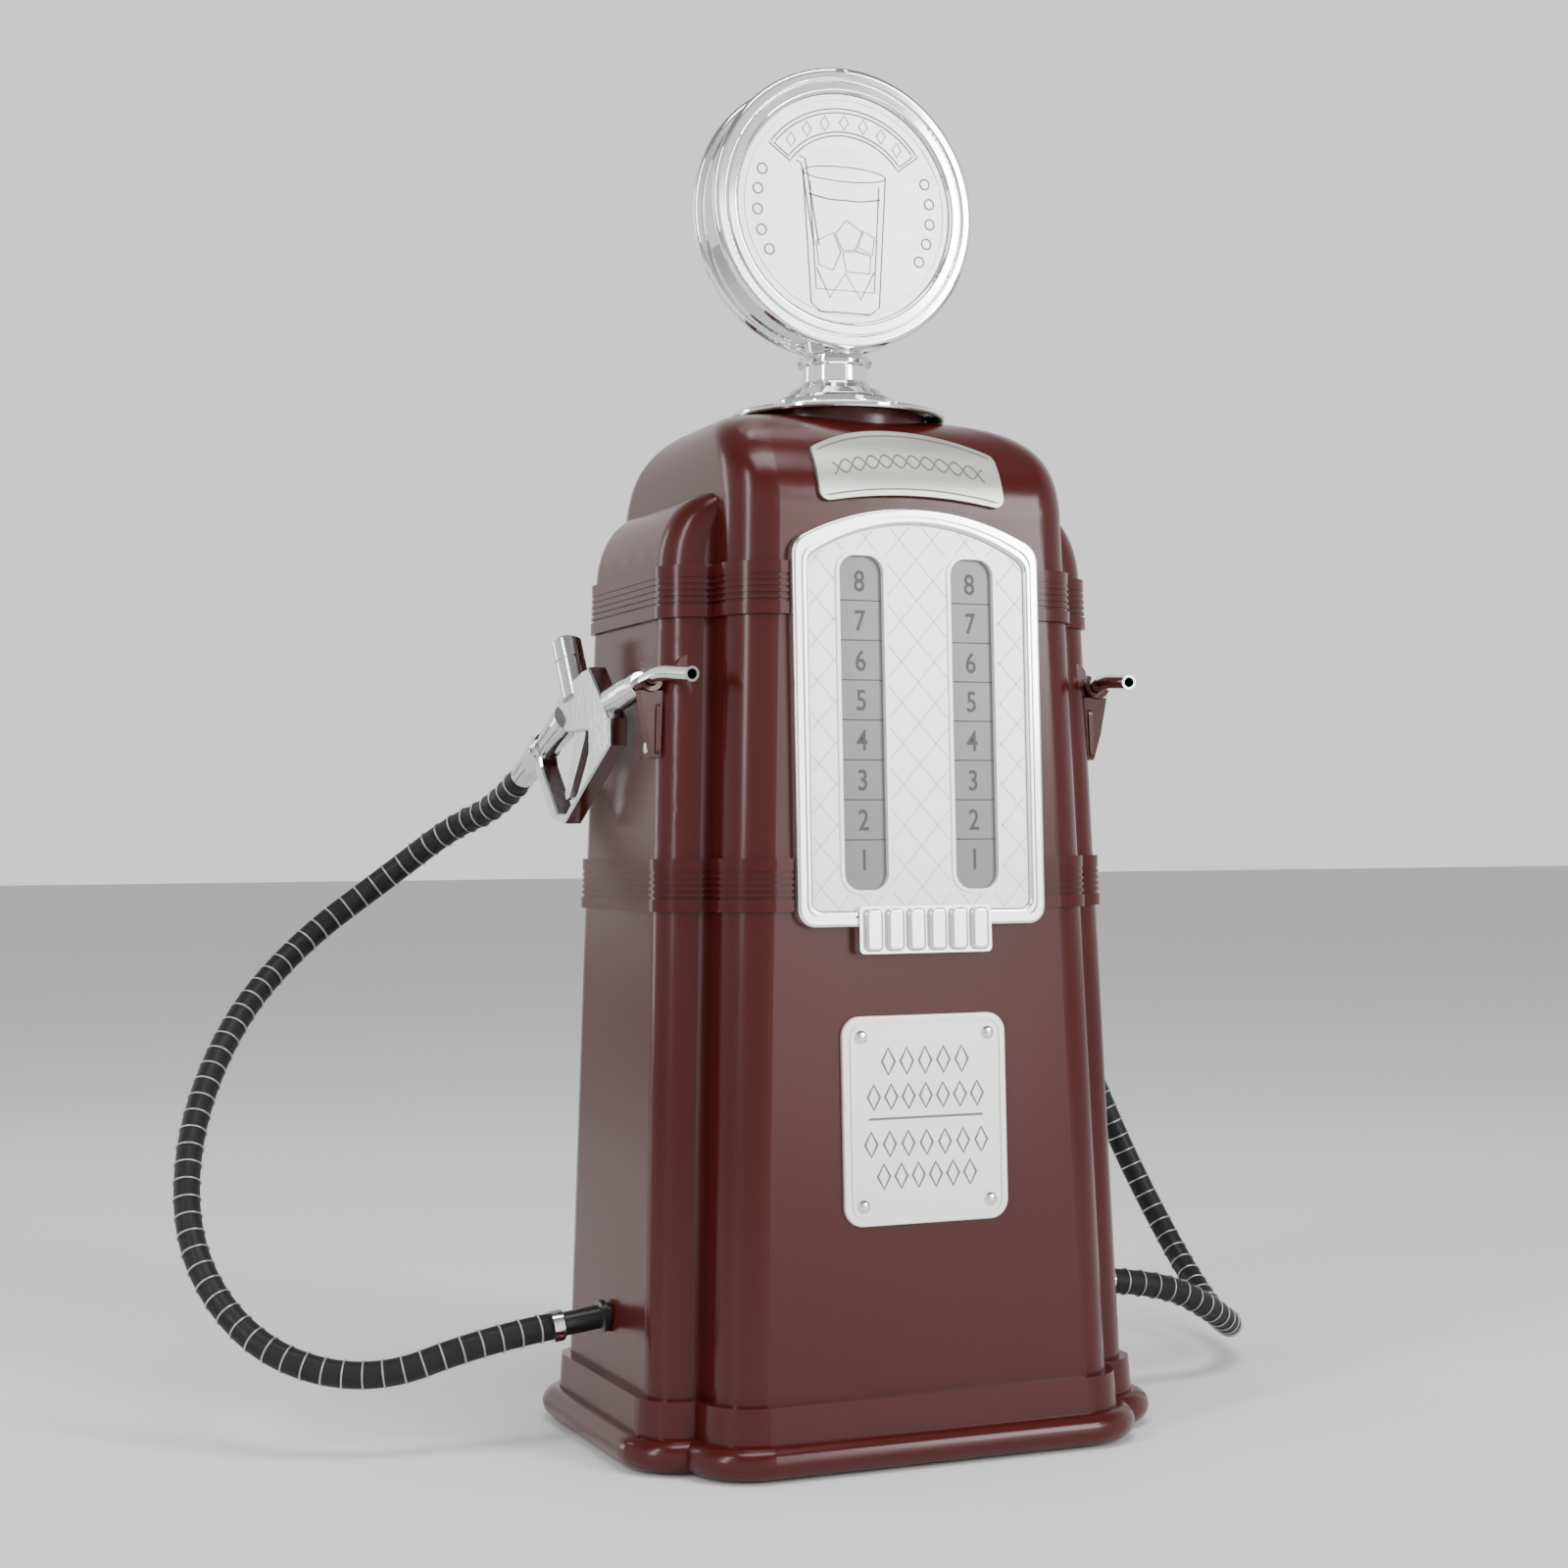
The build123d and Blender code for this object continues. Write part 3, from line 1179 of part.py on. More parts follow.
with BuildPart() as hose_rings:
    add(turned(OUTLET, (-4.2, HOSE_D / 2 - 0.4), (-3.6, HOSE_D / 2 + 0.2), (0, HOSE_D / 2 + 0.2)))
    add(turned(OUTLET, (-6, PIPE_R + RUN), (1, PIPE_R + RUN)), mode=Mode.SUBTRACT)
    mirror(about=Plane.YZ)
finish(hose_rings.part, "hose_rings")

print("hose ends", hose_from, left_lead, right_lead, outlet_lead, outlet)
print("lean angle of the side walls", round(degrees(atan(LEAN_X)), 3))
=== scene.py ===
"""Looks of the table-top drinks dispenser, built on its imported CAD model. Lengths are metres."""

import math

import bpy
from mathutils import Matrix, Vector
from mathutils.bvhtree import BVHTree


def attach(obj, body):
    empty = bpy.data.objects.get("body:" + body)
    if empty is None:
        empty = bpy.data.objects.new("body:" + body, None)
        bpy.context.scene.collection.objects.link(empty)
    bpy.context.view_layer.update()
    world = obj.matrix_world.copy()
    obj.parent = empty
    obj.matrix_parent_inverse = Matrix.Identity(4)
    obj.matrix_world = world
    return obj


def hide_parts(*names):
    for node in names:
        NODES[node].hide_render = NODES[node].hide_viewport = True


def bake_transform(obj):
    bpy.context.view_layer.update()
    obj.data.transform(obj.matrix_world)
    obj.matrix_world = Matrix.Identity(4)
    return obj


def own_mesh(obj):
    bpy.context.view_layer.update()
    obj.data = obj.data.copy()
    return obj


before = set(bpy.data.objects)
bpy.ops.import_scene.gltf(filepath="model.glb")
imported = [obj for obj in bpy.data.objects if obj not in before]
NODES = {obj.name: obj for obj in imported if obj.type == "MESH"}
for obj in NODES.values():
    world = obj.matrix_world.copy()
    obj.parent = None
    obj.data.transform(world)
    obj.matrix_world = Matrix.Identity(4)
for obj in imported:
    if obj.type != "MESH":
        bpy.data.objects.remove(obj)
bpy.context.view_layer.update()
ROOT = "dispenser"
MM = 0.001

# ---------------------------------------------------------------- camera
ORBIT = math.radians(23.7506)
AZIMUTH = ORBIT - math.radians(1.2121)
PITCH = math.radians(1.3823)
ROLL = math.radians(-0.4531)
CAMERA_DISTANCE, CAMERA_HEIGHT = 0.9, 0.1998
LENS, SENSOR = 58.803, 36
camera_data = bpy.data.cameras.new("camera")
camera_data.lens = LENS
camera_data.sensor_width = SENSOR
camera = bpy.data.objects.new("camera", camera_data)
bpy.context.scene.collection.objects.link(camera)
ahead = Vector(
    (math.sin(AZIMUTH) * math.cos(PITCH), math.cos(AZIMUTH) * math.cos(PITCH), math.sin(PITCH))
)
level = Vector((math.cos(AZIMUTH), -math.sin(AZIMUTH), 0))
above = level.cross(ahead)
side_axis = level * math.cos(ROLL) + above * math.sin(ROLL)
up_axis = above * math.cos(ROLL) - level * math.sin(ROLL)
camera.matrix_world = Matrix.Translation(
    (-CAMERA_DISTANCE * math.sin(ORBIT), -CAMERA_DISTANCE * math.cos(ORBIT), CAMERA_HEIGHT)
) @ Matrix((side_axis, up_axis, -ahead)).transposed().to_4x4()
bpy.context.scene.camera = camera


# ---------------------------------------------------------------- materials
def material(name, color, rough, metal=0.0, spread=0.04, grain=0.0, scale=60.0, alpha=1.0):
    """Principled material whose roughness varies a little, with an optional fine bump."""
    made = bpy.data.materials.new(name)
    made.use_nodes = True
    tree = made.node_tree
    shader = tree.nodes["Principled BSDF"]
    shader.inputs["Base Color"].default_value = (*color, 1)
    shader.inputs["Metallic"].default_value = metal
    shader.inputs["Alpha"].default_value = alpha
    place = tree.nodes.new("ShaderNodeTexCoord")
    noise = tree.nodes.new("ShaderNodeTexNoise")
    noise.inputs["Scale"].default_value = scale
    noise.inputs["Detail"].default_value = 3
    limits = tree.nodes.new("ShaderNodeMapRange")
    limits.inputs["To Min"].default_value = max(0.02, rough - spread)
    limits.inputs["To Max"].default_value = rough + spread
    tree.links.new(place.outputs["Object"], noise.inputs["Vector"])
    tree.links.new(noise.outputs["Fac"], limits.inputs["Value"])
    tree.links.new(limits.outputs["Result"], shader.inputs["Roughness"])
    if grain:
        bump = tree.nodes.new("ShaderNodeBump")
        bump.inputs["Strength"].default_value = grain
        bump.inputs["Distance"].default_value = 0.0002
        tree.links.new(noise.outputs["Fac"], bump.inputs["Height"])
        tree.links.new(bump.outputs["Normal"], shader.inputs["Normal"])
    return made


def brushed(name, color, rough):
    """Satin metal with a fine horizontal grain."""
    made = material(name, color, rough, metal=0.75, spread=0.08)
    tree = made.node_tree
    place = tree.nodes["Texture Coordinate"]
    stretch = tree.nodes.new("ShaderNodeMapping")
    stretch.inputs["Scale"].default_value = (60, 60, 2200)
    noise = tree.nodes["Noise Texture"]
    noise.inputs["Scale"].default_value = 1.0
    tree.links.new(place.outputs["Object"], stretch.inputs["Vector"])
    tree.links.new(stretch.outputs["Vector"], noise.inputs["Vector"])
    bump = tree.nodes.new("ShaderNodeBump")
    bump.inputs["Strength"].default_value = 0.12
    bump.inputs["Distance"].default_value = 0.0001
    tree.links.new(noise.outputs["Fac"], bump.inputs["Height"])
    tree.links.new(bump.outputs["Normal"], tree.nodes["Principled BSDF"].inputs["Normal"])
    return made


MAROON = material("maroon plastic", (0.050, 0.0048, 0.0034), 0.22, grain=0.02, scale=14)
MAROON.node_tree.nodes["Principled BSDF"].inputs["Specular IOR Level"].default_value = 0.3
CHROME = material("chrome", (0.80, 0.81, 0.82), 0.07, metal=1.0, spread=0.03)
SOFT_CHROME = material("cast chrome", (0.62, 0.63, 0.64), 0.15, metal=1.0, spread=0.05, grain=0.25, scale=420)
PLATE = brushed("satin plate", (0.80, 0.80, 0.78), 0.42)
QUILTED = material("quilted plate", (0.88, 0.88, 0.87), 0.34, metal=0.35, spread=0.05)
NAME_METAL = brushed("name plate metal", (0.50, 0.51, 0.47), 0.36)
BRIGHT_TRIM = material("bright trim", (0.84, 0.84, 0.84), 0.16, metal=0.92, spread=0.04)
ETCHED = material("etched line", (0.15, 0.15, 0.145), 0.5, metal=0.3)
FAINT = material("quilting line", (0.66, 0.66, 0.65), 0.5, metal=0.3)
STRIP = material("level strip", (0.17, 0.17, 0.165), 0.34, metal=0.3)
STRIP_LINE = material("strip marking", (0.055, 0.055, 0.053), 0.5)
BLACK = material("black plastic", (0.012, 0.012, 0.013), 0.3)
STEEL = material("steel", (0.55, 0.55, 0.55), 0.25, metal=1.0)
BRASS = material("brass", (0.62, 0.45, 0.2), 0.3, metal=1.0)
RUBBER = material("rubber", (0.02, 0.02, 0.02), 0.7, grain=0.3, scale=300)
MILKY = material("milky plastic", (0.62, 0.62, 0.59), 0.4)
HOSE_CORE = material("hose core", (0.004, 0.004, 0.0045), 0.5, grain=0.2, scale=500)
HOSE_CORE.node_tree.nodes["Principled BSDF"].inputs["Specular IOR Level"].default_value = 0.15
SHEATH = material("clear sheath", (0.30, 0.31, 0.32), 0.12, alpha=0.035)
HOSE_WIRE = material("hose wire", (0.42, 0.43, 0.43), 0.3, metal=0.8)

NOZZLE_CASTINGS = (
    "nozzle_outer_half", "nozzle_inner_half", "valve_cap", "spout_ferrule", "grip_tube", "trigger"
)
SURFACES = {
    MAROON: ("front_shell", "rear_shell", "hook_left", "hook_right"),
    BRIGHT_TRIM: ("panel_frame", "ribbed_tab"),
    NAME_METAL: ("name_plate",),
    CHROME: (
        "plaque_rivets hose_rings hook_screws sign_drum "
        "sign_bezel_front sign_bezel_rear sign_neck sign_flange spout_left spout_right"
    ).split(),
    SOFT_CHROME: [f"{casting}_{side}" for side in ("left", "right") for casting in NOZZLE_CASTINGS],
    PLATE: ("plaque", "sign_face_front", "sign_face_rear"),
    QUILTED: ("gauge_panel",),
    STRIP: ("gauge_strip_left", "gauge_strip_right"),
    BLACK: ("base_plate", "outlet_pipe_left", "outlet_pipe_right", "tank_stand"),
    BRASS: ("outlet_nuts",),
    RUBBER: ("rubber_feet", "stopper_ring"),
    MILKY: ("tank_left", "tank_right", "tank_lids", "filler_collar", "filler_funnel", "stopper_plug"),
}
for surface, names in SURFACES.items():
    for name in names:
        NODES[name].data.materials.clear()
        NODES[name].data.materials.append(surface)
for name, node in NODES.items():
    if not any(name in names for names in SURFACES.values()):
        node.data.materials.clear()
        node.data.materials.append(STEEL)


# ---------------------------------------------------------------- making pieces
def piece(name, verts, faces, surface, body, smooth=False):
    """New mesh object that rides on a CAD body."""
    mesh = bpy.data.meshes.new(name)
    mesh.from_pydata([tuple(v) for v in verts], [], faces)
    mesh.update()
    mesh.materials.append(surface)
    made = bpy.data.objects.new(name, mesh)
    bpy.context.scene.collection.objects.link(made)
    if smooth:
        mesh.polygons.foreach_set("use_smooth", [True] * len(mesh.polygons))
    if body:
        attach(made, body)
    return made


FRONT_Y, WALL_LEAN = -70.1, 0.025  # front wall at the floor, and how far it leans back per unit of height
SIGN_FACE_Y, SIGN_Z = 9.85, 422.4


def wall_point(x, z, out=0.0):
    """Point on the front wall: x across and z up it in millimetres, out millimetres in front of it."""
    slope = math.sqrt(1 + WALL_LEAN**2)
    return Vector((x, FRONT_Y + (WALL_LEAN * z - out) / slope, (z + WALL_LEAN * out) / slope)) * MM


def face_point(x, z, out=0.0):
    """Point on the front face of the sign, measured from its centre."""
    return Vector((x, -SIGN_FACE_Y - out, SIGN_Z + z)) * MM


def rear_face_point(x, z, out=0.0):
    """The same on the rear face of the sign."""
    return Vector((-x, SIGN_FACE_Y + out, SIGN_Z + z)) * MM


name_tree = BVHTree.FromPolygons(
    [v.co for v in NODES["name_plate"].data.vertices],
    [p.vertices for p in NODES["name_plate"].data.polygons],
)


def name_point(x, z, out=0.0):
    """Point on the curved name plate, seen from the front."""
    hit, normal, _, _ = name_tree.ray_cast(Vector((x * MM, -0.2, z * MM)), Vector((0, 1, 0)))
    return hit + normal * out * MM


SUNK = -0.1  # how far the foot of a raised line lies in the surface under it, in millimetres


def ribbons(name, lines, width, height, place, surface, body, closed=False):
    """Thin raised lines on a face. Each line is a list of (x, z); place gives the point in space."""
    verts, faces = [], []
    for line in lines:
        count = len(line)
        start = len(verts)
        for i, (x, z) in enumerate(line):
            before = line[(i - 1) % count] if closed or i else line[i]
            after = line[(i + 1) % count] if closed or i < count - 1 else line[i]
            run = Vector((after[0] - before[0], after[1] - before[1]))
            run = run.normalized() if run.length else Vector((1, 0))
            off = Vector((-run.y, run.x)) * width / 2
            verts += [
                place(x + off.x, z + off.y, height),
                place(x - off.x, z - off.y, height),
                place(x - off.x, z - off.y, SUNK),
                place(x + off.x, z + off.y, SUNK),
            ]
        for i in range(count if closed else count - 1):
            a, b = start + 4 * i, start + 4 * ((i + 1) % count)
            for k in range(4):
                faces.append((a + k, a + (k + 1) % 4, b + (k + 1) % 4, b + k))
        if not closed:
            last = start + 4 * (count - 1)
            faces += [(start + 3, start + 2, start + 1, start), (last, last + 1, last + 2, last + 3)]
    return piece(name, verts, faces, surface, body)


def circle(x, z, r, steps=32, start=0.0, turn=360.0):
    """Points round a circle or along an arc, in degrees."""
    count = steps if turn >= 360 else steps + 1
    return [
        (
            x + r * math.cos(math.radians(start + turn * i / steps)),
            z + r * math.sin(math.radians(start + turn * i / steps)),
        )
        for i in range(count)
    ]


# ---------------------------------------------------------------- hoses
HOSE_D = 0.0104
CORE_R = 0.0045
WIRE_R = 0.00034
RING_OUT, RING_PITCH = 0.0002, 0.0066
ROUTES = {
    "left": [
        (-96.5, 62.2, 225.5), (-99.4, 83.7, 214.9), (-111.5, 105.1, 207.5), (-129.9, 121.0, 190.7),
        (-164.3, 124.7, 165.4), (-194.3, 102.9, 137.0), (-214.1, 77.0, 98.8), (-216.9, 52.8, 61.8),
        (-199.2, 25.0, 34.1), (-165.8, 7.3, 24.6), (-129.8, 0.0, 37.2), (-106.5, 0.0, 40.0),
    ],
    "right": [
        (96.5, 62.2, 225.5), (99.6, 85.5, 214.0), (108.2, 101.9, 195.0), (124.5, 111.6, 167.9),
        (140.6, 118.2, 141.1), (160.3, 120.3, 119.6), (179.8, 118.0, 73.3), (193.1, 98.1, 31.5),
        (190.0, 62.2, 10.6), (176.8, 26.7, 12.7), (153.5, 5.7, 25.3), (129.8, 0.0, 37.2), (106.5, 0.0, 40.0),
    ],
}


def centreline(name, route):
    """Evenly read points of a smooth curve through the route, with a direction frame at each."""
    curve = bpy.data.curves.new(name, "CURVE")
    curve.dimensions = "3D"
    curve.resolution_u = 24
    spline = curve.splines.new("NURBS")
    spline.points.add(len(route) - 1)
    for point, (x, y, z) in zip(spline.points, route):
        point.co = (x * MM, y * MM, z * MM, 1)
    spline.order_u = 3
    spline.use_endpoint_u = True
    holder = bpy.data.objects.new(name, curve)
    bpy.context.scene.collection.objects.link(holder)
    bpy.context.view_layer.update()
    line = bpy.data.meshes.new_from_object(holder)
    points = [v.co.copy() for v in line.vertices]
    bpy.data.objects.remove(holder)
    frames, side = [], Vector((0, 0, 1))
    for i, point in enumerate(points):
        run = (points[min(i + 1, len(points) - 1)] - points[max(i - 1, 0)]).normalized()
        side = (side - run * side.dot(run)).normalized()
        frames.append((point, run, side, run.cross(side)))
    return points, frames


def tube(name, frames, radius, surface, sides=20):
    """Mesh tube along a centreline, with closed ends."""
    verts, faces = [], []
    for point, _, u, v in frames:
        for k in range(sides):
            turn = 2 * math.pi * k / sides
            verts.append(point + (u * math.cos(turn) + v * math.sin(turn)) * radius)
    for i in range(len(frames) - 1):
        for k in range(sides):
            a, b = i * sides + k, i * sides + (k + 1) % sides
            faces.append((a, b, b + sides, a + sides))
    faces.append(tuple(reversed(range(sides))))
    faces.append(tuple(range(len(verts) - sides, len(verts))))
    return piece(name, verts, faces, surface, None, smooth=True)


def wire_rings(name, frames, radius, pitch, surface):
    """Fine steel rings round the hose core at an even pitch."""
    verts, faces = [], []
    travelled, due = 0.0, pitch
    for before, now in zip(frames, frames[1:]):
        step = (now[0] - before[0]).length
        while travelled + step >= due:
            share = (due - travelled) / step
            centre = before[0].lerp(now[0], share)
            _, run, u, v = now
            start, around, across = len(verts), 28, 5
            for k in range(around):
                turn = 2 * math.pi * k / around
                out = u * math.cos(turn) + v * math.sin(turn)
                for m in range(across):
                    tip = 2 * math.pi * m / across
                    from_core = radius + WIRE_R * math.cos(tip)
                    verts.append(centre + out * from_core + run * WIRE_R * math.sin(tip))
            for k in range(around):
                for m in range(across):
                    a, b = start + k * across, start + (k + 1) % around * across
                    faces.append((a + m, a + (m + 1) % across, b + (m + 1) % across, b + m))
            due += pitch
        travelled += step
    return piece(name, verts, faces, surface, None, smooth=True)


for side, route in ROUTES.items():
    points, frames = centreline(f"hose_line_{side}", route)
    sheath = tube(f"hose_sheath_{side}", frames, HOSE_D / 2, SHEATH)
    core = tube(f"hose_core_{side}", frames, CORE_R, HOSE_CORE)
    rings = wire_rings(f"hose_wire_{side}", frames, CORE_R + RING_OUT, RING_PITCH, HOSE_WIRE)
    for part in (sheath, core, rings):
        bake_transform(part)
    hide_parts(f"hose_{side}")

# ---------------------------------------------------------------- valve springs, each with a mesh of its own
for side, mirror in (("left", 1), ("right", -1)):
    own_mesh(NODES[f"valve_spring_{side}"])

# ---------------------------------------------------------------- gauge panel: quilting and level strips
FRAME_W, FRAME_LOW, FRAME_APEX, FRAME_ARCH, RAIL = 89.2, 173.3, 310.3, 12.0, 5.4
SLOT_W, SLOT_H, SLOT_X, SLOT_Z = 15.7, 109.0, 20.0, 239.7
PANEL_H, STRIP_H, LIP = 2.2, 0.8, 1.4
QUILT_W, QUILT_H = 12.0, 13.4
INSET = 0.5  # bare edge between the quilting and the frame
QUILT_ROWS, QUILT_STEPS = 24, 600
SHORTEST = 1  # shorter pieces of quilting line are dropped


def on_plate(x, z):
    """True where the quilted plate is bare: inside the frame and off the two slots."""
    half = FRAME_W / 2 - RAIL - INSET
    chord, rise = FRAME_W / 2 - RAIL, FRAME_ARCH
    arch_r = (chord**2 + rise**2) / (2 * rise)
    top = FRAME_APEX - RAIL - arch_r + math.sqrt(max(0.0, arch_r**2 - x**2)) - INSET
    if abs(x) > half or not FRAME_LOW + RAIL + INSET < z < top:
        return False
    return abs(abs(x) - SLOT_X) > SLOT_W / 2 + LIP or abs(z - SLOT_Z) > SLOT_H / 2 + LIP


quilting = []
for lean in (-1, 1):
    for k in range(-QUILT_ROWS, QUILT_ROWS + 1):
        run = []
        for i in range(QUILT_STEPS + 1):
            z = FRAME_LOW + (FRAME_APEX - FRAME_LOW) * i / QUILT_STEPS
            x = lean * (z - SLOT_Z) * QUILT_W / QUILT_H + k * QUILT_W
            if on_plate(x, z):
                run.append((x, z))
            elif run:
                quilting.append((run[0], run[-1]))
                run = []
        if run:
            quilting.append((run[0], run[-1]))
quilting = [q for q in quilting if math.dist(*q) > SHORTEST]
panel_at = lambda x, z, o: wall_point(x, z, PANEL_H + o)
ribbons("panel_quilting", quilting, 0.42, 0.05, panel_at, FAINT, ROOT)


def number(text, height, stroke):
    """Vertices and faces of a flat figure, centred, in millimetres. stroke makes its strokes bolder."""
    curve = bpy.data.curves.new("figure", "FONT")
    curve.body = text
    curve.size = height
    curve.align_x = "CENTER"
    curve.offset = stroke
    holder = bpy.data.objects.new("figure", curve)
    bpy.context.scene.collection.objects.link(holder)
    bpy.context.view_layer.update()
    flat = bpy.data.meshes.new_from_object(holder)
    bpy.data.objects.remove(holder)
    high = max(v.co.y for v in flat.vertices)
    verts = [(v.co.x, v.co.y - high / 2) for v in flat.vertices]
    faces = [tuple(p.vertices) for p in flat.polygons]
    return verts, faces


CELL = 13.0  # height of one step of the level strips
TOP_FIGURE, TOP_DIVISION = 46.4, 39.9  # above the middle of the slot
FIGURE_H, FIGURE_BOLD, FIGURE_SQUEEZE, FIGURE_OUT = 9.6, 0.12, 0.85, 0.06
DIVISION_HALF_W = 7.6
for side, x in (("left", -SLOT_X), ("right", SLOT_X)):
    place = lambda px, pz, o: wall_point(px, pz, STRIP_H + o)
    verts, faces = [], []
    for k in range(8):
        flat, polygons = number(str(8 - k), FIGURE_H, FIGURE_BOLD)
        z = SLOT_Z + TOP_FIGURE - k * CELL
        start = len(verts)
        verts += [place(x + FIGURE_SQUEEZE * px, z + pz, FIGURE_OUT) for px, pz in flat]
        faces += [tuple(start + i for i in p) for p in polygons]
    piece(f"strip_figures_{side}", verts, faces, STRIP_LINE, ROOT)
    levels = [SLOT_Z + TOP_DIVISION - k * CELL for k in range(7)]
    cuts = [[(x - DIVISION_HALF_W, z), (x + DIVISION_HALF_W, z)] for z in levels]
    ribbons(f"strip_divisions_{side}", cuts, 0.4, 0.05, place, STRIP_LINE, ROOT)

# ---------------------------------------------------------------- plaque: rule and ornament instead of words
PLAQUE_LOW, PLAQUE_HIGH, PLAQUE_H = 76.9, 144.5, 1.6
PLAQUE_MID = (PLAQUE_LOW + PLAQUE_HIGH) / 2
RULE_HALF_W, RULE_UP = 20.5, 0.6
plaque_at = lambda x, z, o: wall_point(x, z, PLAQUE_H + o)
rule = [[(-RULE_HALF_W, PLAQUE_MID + RULE_UP), (RULE_HALF_W, PLAQUE_MID + RULE_UP)]]
ribbons("plaque_rule", rule, 0.8, 0.08, plaque_at, ETCHED, ROOT)


def lozenges(count, pitch, width, height, z):
    """Row of small diamonds, as closed outlines."""
    first = -pitch * (count - 1) / 2
    return [
        [
            (first + pitch * k - width / 2, z),
            (first + pitch * k, z + height / 2),
            (first + pitch * k + width / 2, z),
            (first + pitch * k, z - height / 2),
        ]
        for k in range(count)
    ]


rows = lozenges(5, 6.6, 4.6, 8.6, PLAQUE_MID + 19.0) + lozenges(7, 6.2, 4.4, 8.0, PLAQUE_MID + 7.6)
rows += lozenges(7, 6.6, 4.4, 8.0, PLAQUE_MID - 7.6) + lozenges(6, 6.2, 4.4, 8.0, PLAQUE_MID - 18.0)
ribbons("plaque_ornament", rows, 0.85, 0.08, plaque_at, ETCHED, ROOT, closed=True)

# ---------------------------------------------------------------- name plate: rim line and ornament
NAME_HALF_W = 33.4
NAME_LOW = (311.4, 314.8)  # lower edge at its ends and on the centre line
NAME_HIGH = (330.2, 338.7)  # the same of its upper edge
RIM_IN, RIM_SHARE = 2.2, 0.09
WAVE_IN, WAVE_H, WAVE_TURN = 6, 2.3, 0.62


def arc_height(ends, x):
    """Height of an edge of the name plate, which is an arc, at x across it."""
    rise = ends[1] - ends[0]
    radius = (NAME_HALF_W**2 + rise**2) / (2 * rise)
    return ends[1] - radius + math.sqrt(radius**2 - x**2)


def name_line(share, half, steps=48):
    """Line across the name plate, share of the way up from its lower edge."""
    across = [-half + 2 * half * i / steps for i in range(steps + 1)]
    return [
        (x, arc_height(NAME_LOW, x) + share * (arc_height(NAME_HIGH, x) - arc_height(NAME_LOW, x)))
        for x in across
    ]


rim = name_line(RIM_SHARE, NAME_HALF_W - RIM_IN) + name_line(1 - RIM_SHARE, NAME_HALF_W - RIM_IN)[::-1]
ribbons("name_plate_rim", [rim], 0.5, 0.12, name_point, ETCHED, ROOT, closed=True)
waves = []
for phase in (0, math.pi):
    middle = name_line(0.5, NAME_HALF_W - WAVE_IN, 120)
    waves.append([(x, z + WAVE_H * math.sin(x * WAVE_TURN + phase)) for x, z in middle])
ribbons("name_plate_ornament", waves, 0.55, 0.12, name_point, ETCHED, ROOT)

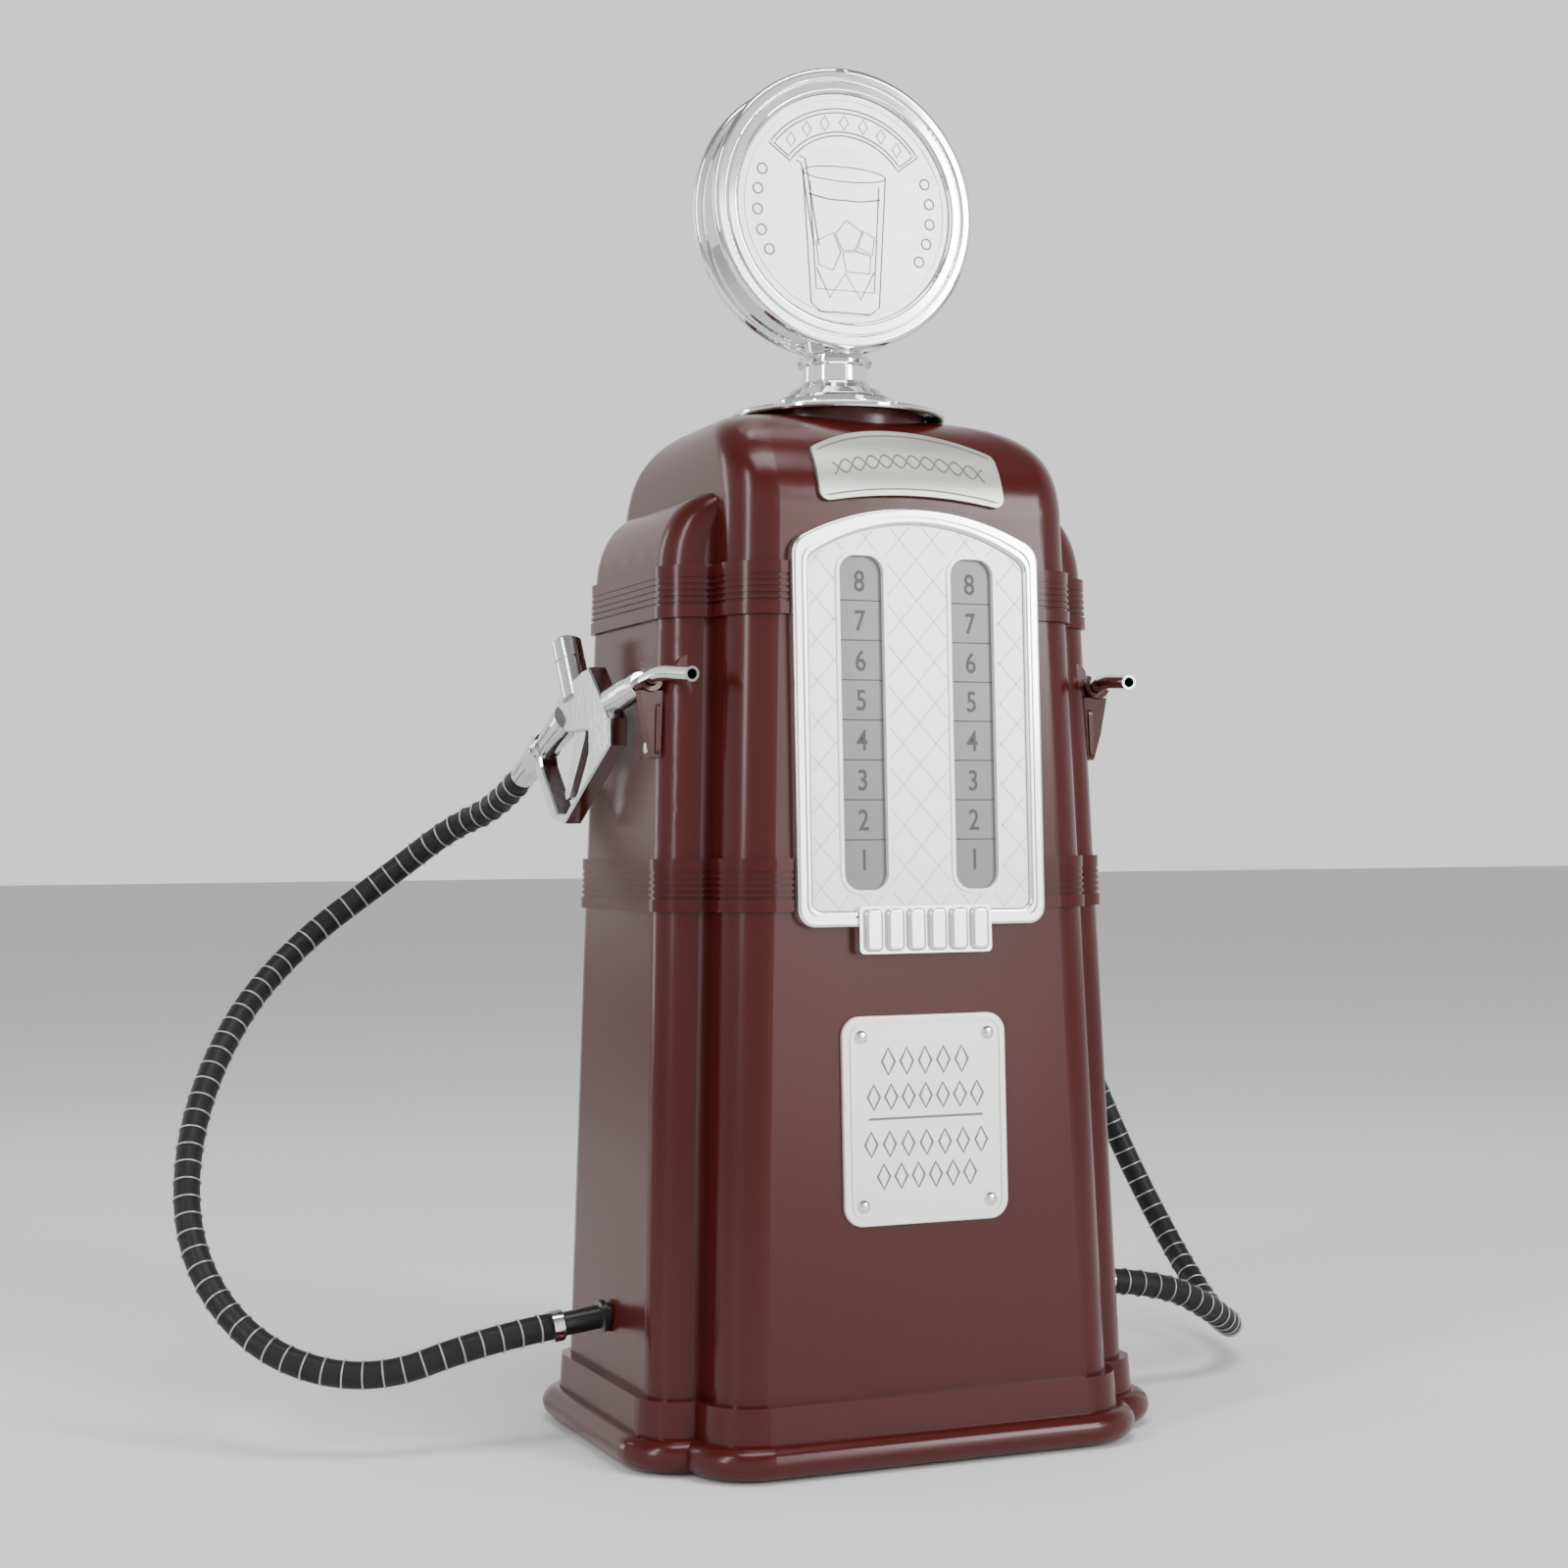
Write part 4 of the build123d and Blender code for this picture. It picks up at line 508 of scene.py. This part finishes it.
# ---------------------------------------------------------------- sign faces
BEAD_ROUND, BEAD_R, BEAD_TOP, BEAD_STEP = 33.0, 1.8, 20, 12.5  # radius of the row and of a bead, degrees
STAR_ROUND, STAR_STEP, STAR_HALF_W, STAR_HALF_H = 30.2, 14.0, 1.7, 2.6
GLASS_WIDE, GLASS_TALL, GLASS_DOWN = 1.05, 1.12, 7
MOUTH_HALF_W, MOUTH_HALF_H, MOUTH_Z = 15, 2.3, 17
for suffix, place in (("front", face_point), ("rear", rear_face_point)):
    banner = circle(0, 0, 35.0, 40, 36, 108) + circle(0, 0, 25.5, 40, 36, 108)[::-1]
    inner = circle(0, 0, 33.6, 40, 38, 104) + circle(0, 0, 26.9, 40, 38, 104)[::-1]
    beads = []
    for k in range(5):
        for mirror in (-1, 1):
            angle = math.radians(BEAD_TOP - BEAD_STEP * k)
            x, z = mirror * BEAD_ROUND * math.cos(angle), BEAD_ROUND * math.sin(angle)
            beads.append(circle(x, z, BEAD_R, 16))
    stars = []
    for k in range(7):
        angle = math.radians(90 + (k - 3) * STAR_STEP)
        x, z = STAR_ROUND * math.cos(angle), STAR_ROUND * math.sin(angle)
        stars.append([(x - STAR_HALF_W, z), (x, z + STAR_HALF_H), (x + STAR_HALF_W, z), (x, z - STAR_HALF_H)])
    ribbons(f"sign_rings_{suffix}", beads, 0.55, 0.1, place, ETCHED, "sign_cap", closed=True)
    edges = [banner, inner]
    ribbons(f"sign_banner_{suffix}", edges, 0.5, 0.1, place, ETCHED, "sign_cap", closed=True)
    ribbons(f"sign_stars_{suffix}", stars, 0.45, 0.1, place, ETCHED, "sign_cap", closed=True)
    # tumbler with ice and a straw
    glass = [
        [(-15, 17), (-12.4, -24), (-9, -26.5), (9, -26.5), (12.4, -24), (15, 17)],
        [(-12.6, 14), (-10.6, -19.5), (10.6, -19.5), (12.6, 14)],
        [(-13.0, 10), (-6, 8.8), (6, 8.8), (13.0, 10)],
        [(-16.4, 21.5), (-14.2, 20.8), (-9.4, -6)],
        [(-17.4, 20.0), (-15.6, 19.2), (-11.2, -6)],
        [(-10.4, -13), (-5.6, -22), (0, -14), (5.6, -22), (10.6, -13)],
    ]
    mouth = [
        (MOUTH_HALF_W * math.cos(math.radians(a)), MOUTH_Z + MOUTH_HALF_H * math.sin(math.radians(a)))
        for a in range(0, 360, 10)
    ]
    cubes = [
        [(-9.6, -12), (-10.4, -4.6), (-4.2, -1.6), (-1.6, -7.6), (-4.4, -13.4)],
        [(-3.4, -1.8), (0.6, 2.6), (6.2, -0.6), (3.8, -6.4), (-1.0, -7.0)],
        [(0.4, -13.6), (-0.8, -7.6), (4.2, -6.8), (9.4, -8.0), (9.0, -13.6)],
        [(4.8, -5.6), (6.8, -0.4), (10.8, -2.2), (10.0, -7.6)],
    ]
    glass = [[(GLASS_WIDE * x, GLASS_TALL * z - GLASS_DOWN) for x, z in line] for line in glass]
    cubes = [[(GLASS_WIDE * x, GLASS_TALL * z - GLASS_DOWN) for x, z in line] for line in [mouth] + cubes]
    ribbons(f"sign_glass_{suffix}", glass, 0.5, 0.1, place, ETCHED, "sign_cap")
    ribbons(f"sign_ice_{suffix}", cubes, 0.42, 0.1, place, ETCHED, "sign_cap", closed=True)

# ---------------------------------------------------------------- floor, light
world = bpy.data.worlds.new("studio")
bpy.context.scene.world = world
world.use_nodes = True
sky = world.node_tree
HORIZON, ZENITH = 1.1, 0.3  # strength of the surround
DIM_FROM, DIM_TO = 0.35, 0.75  # between these heights it goes from the one to the other
FLOOR_SIZE, FLOOR_DOWN = 30, 0.0002


def soft_sky(tree):
    """Plain white surround, dimmer overhead, and the same from every side."""
    place = tree.nodes.new("ShaderNodeTexCoord")
    parts = tree.nodes.new("ShaderNodeSeparateXYZ")
    limits = tree.nodes.new("ShaderNodeMapRange")
    limits.inputs["From Min"].default_value = DIM_FROM
    limits.inputs["From Max"].default_value = DIM_TO
    limits.inputs["To Min"].default_value = HORIZON
    limits.inputs["To Max"].default_value = ZENITH
    tree.links.new(place.outputs["Generated"], parts.inputs[0])
    tree.links.new(parts.outputs["Z"], limits.inputs["Value"])
    tree.links.new(limits.outputs["Result"], tree.nodes["Background"].inputs["Strength"])


soft_sky(sky)
sky.nodes["Background"].inputs["Color"].default_value = (1, 1, 1, 1)

bpy.ops.mesh.primitive_plane_add(size=FLOOR_SIZE, location=(0, 0, -FLOOR_DOWN))
floor = bpy.context.object
floor.name = "studio_floor"
floor.data.materials.append(material("studio floor", (0.82, 0.82, 0.82), 0.6))


def lamp(name, centre, size, power, target=(0, 0, 0.22)):
    """Soft rectangular studio light."""
    data = bpy.data.lights.new(name, "AREA")
    data.shape = "RECTANGLE"
    data.size, data.size_y = size
    data.energy = power
    made = bpy.data.objects.new(name, data)
    bpy.context.scene.collection.objects.link(made)
    made.location = centre
    made.rotation_euler = (Vector(target) - Vector(centre)).to_track_quat("-Z", "Y").to_euler()


lamp("key", (-1.15, -0.55, 0.8), (0.12, 1.1), 9)
lamp("fill", (0.95, -1.5, 0.9), (0.35, 1.0), 20)
lamp("card", (0.72, -1.75, 0.45), (0.5, 0.9), 5)
lamp("top", (0.0, -0.4, 1.5), (0.9, 0.5), 12)
lamp("edge", (-0.9, 0.9, 0.5), (0.2, 0.9), 3)
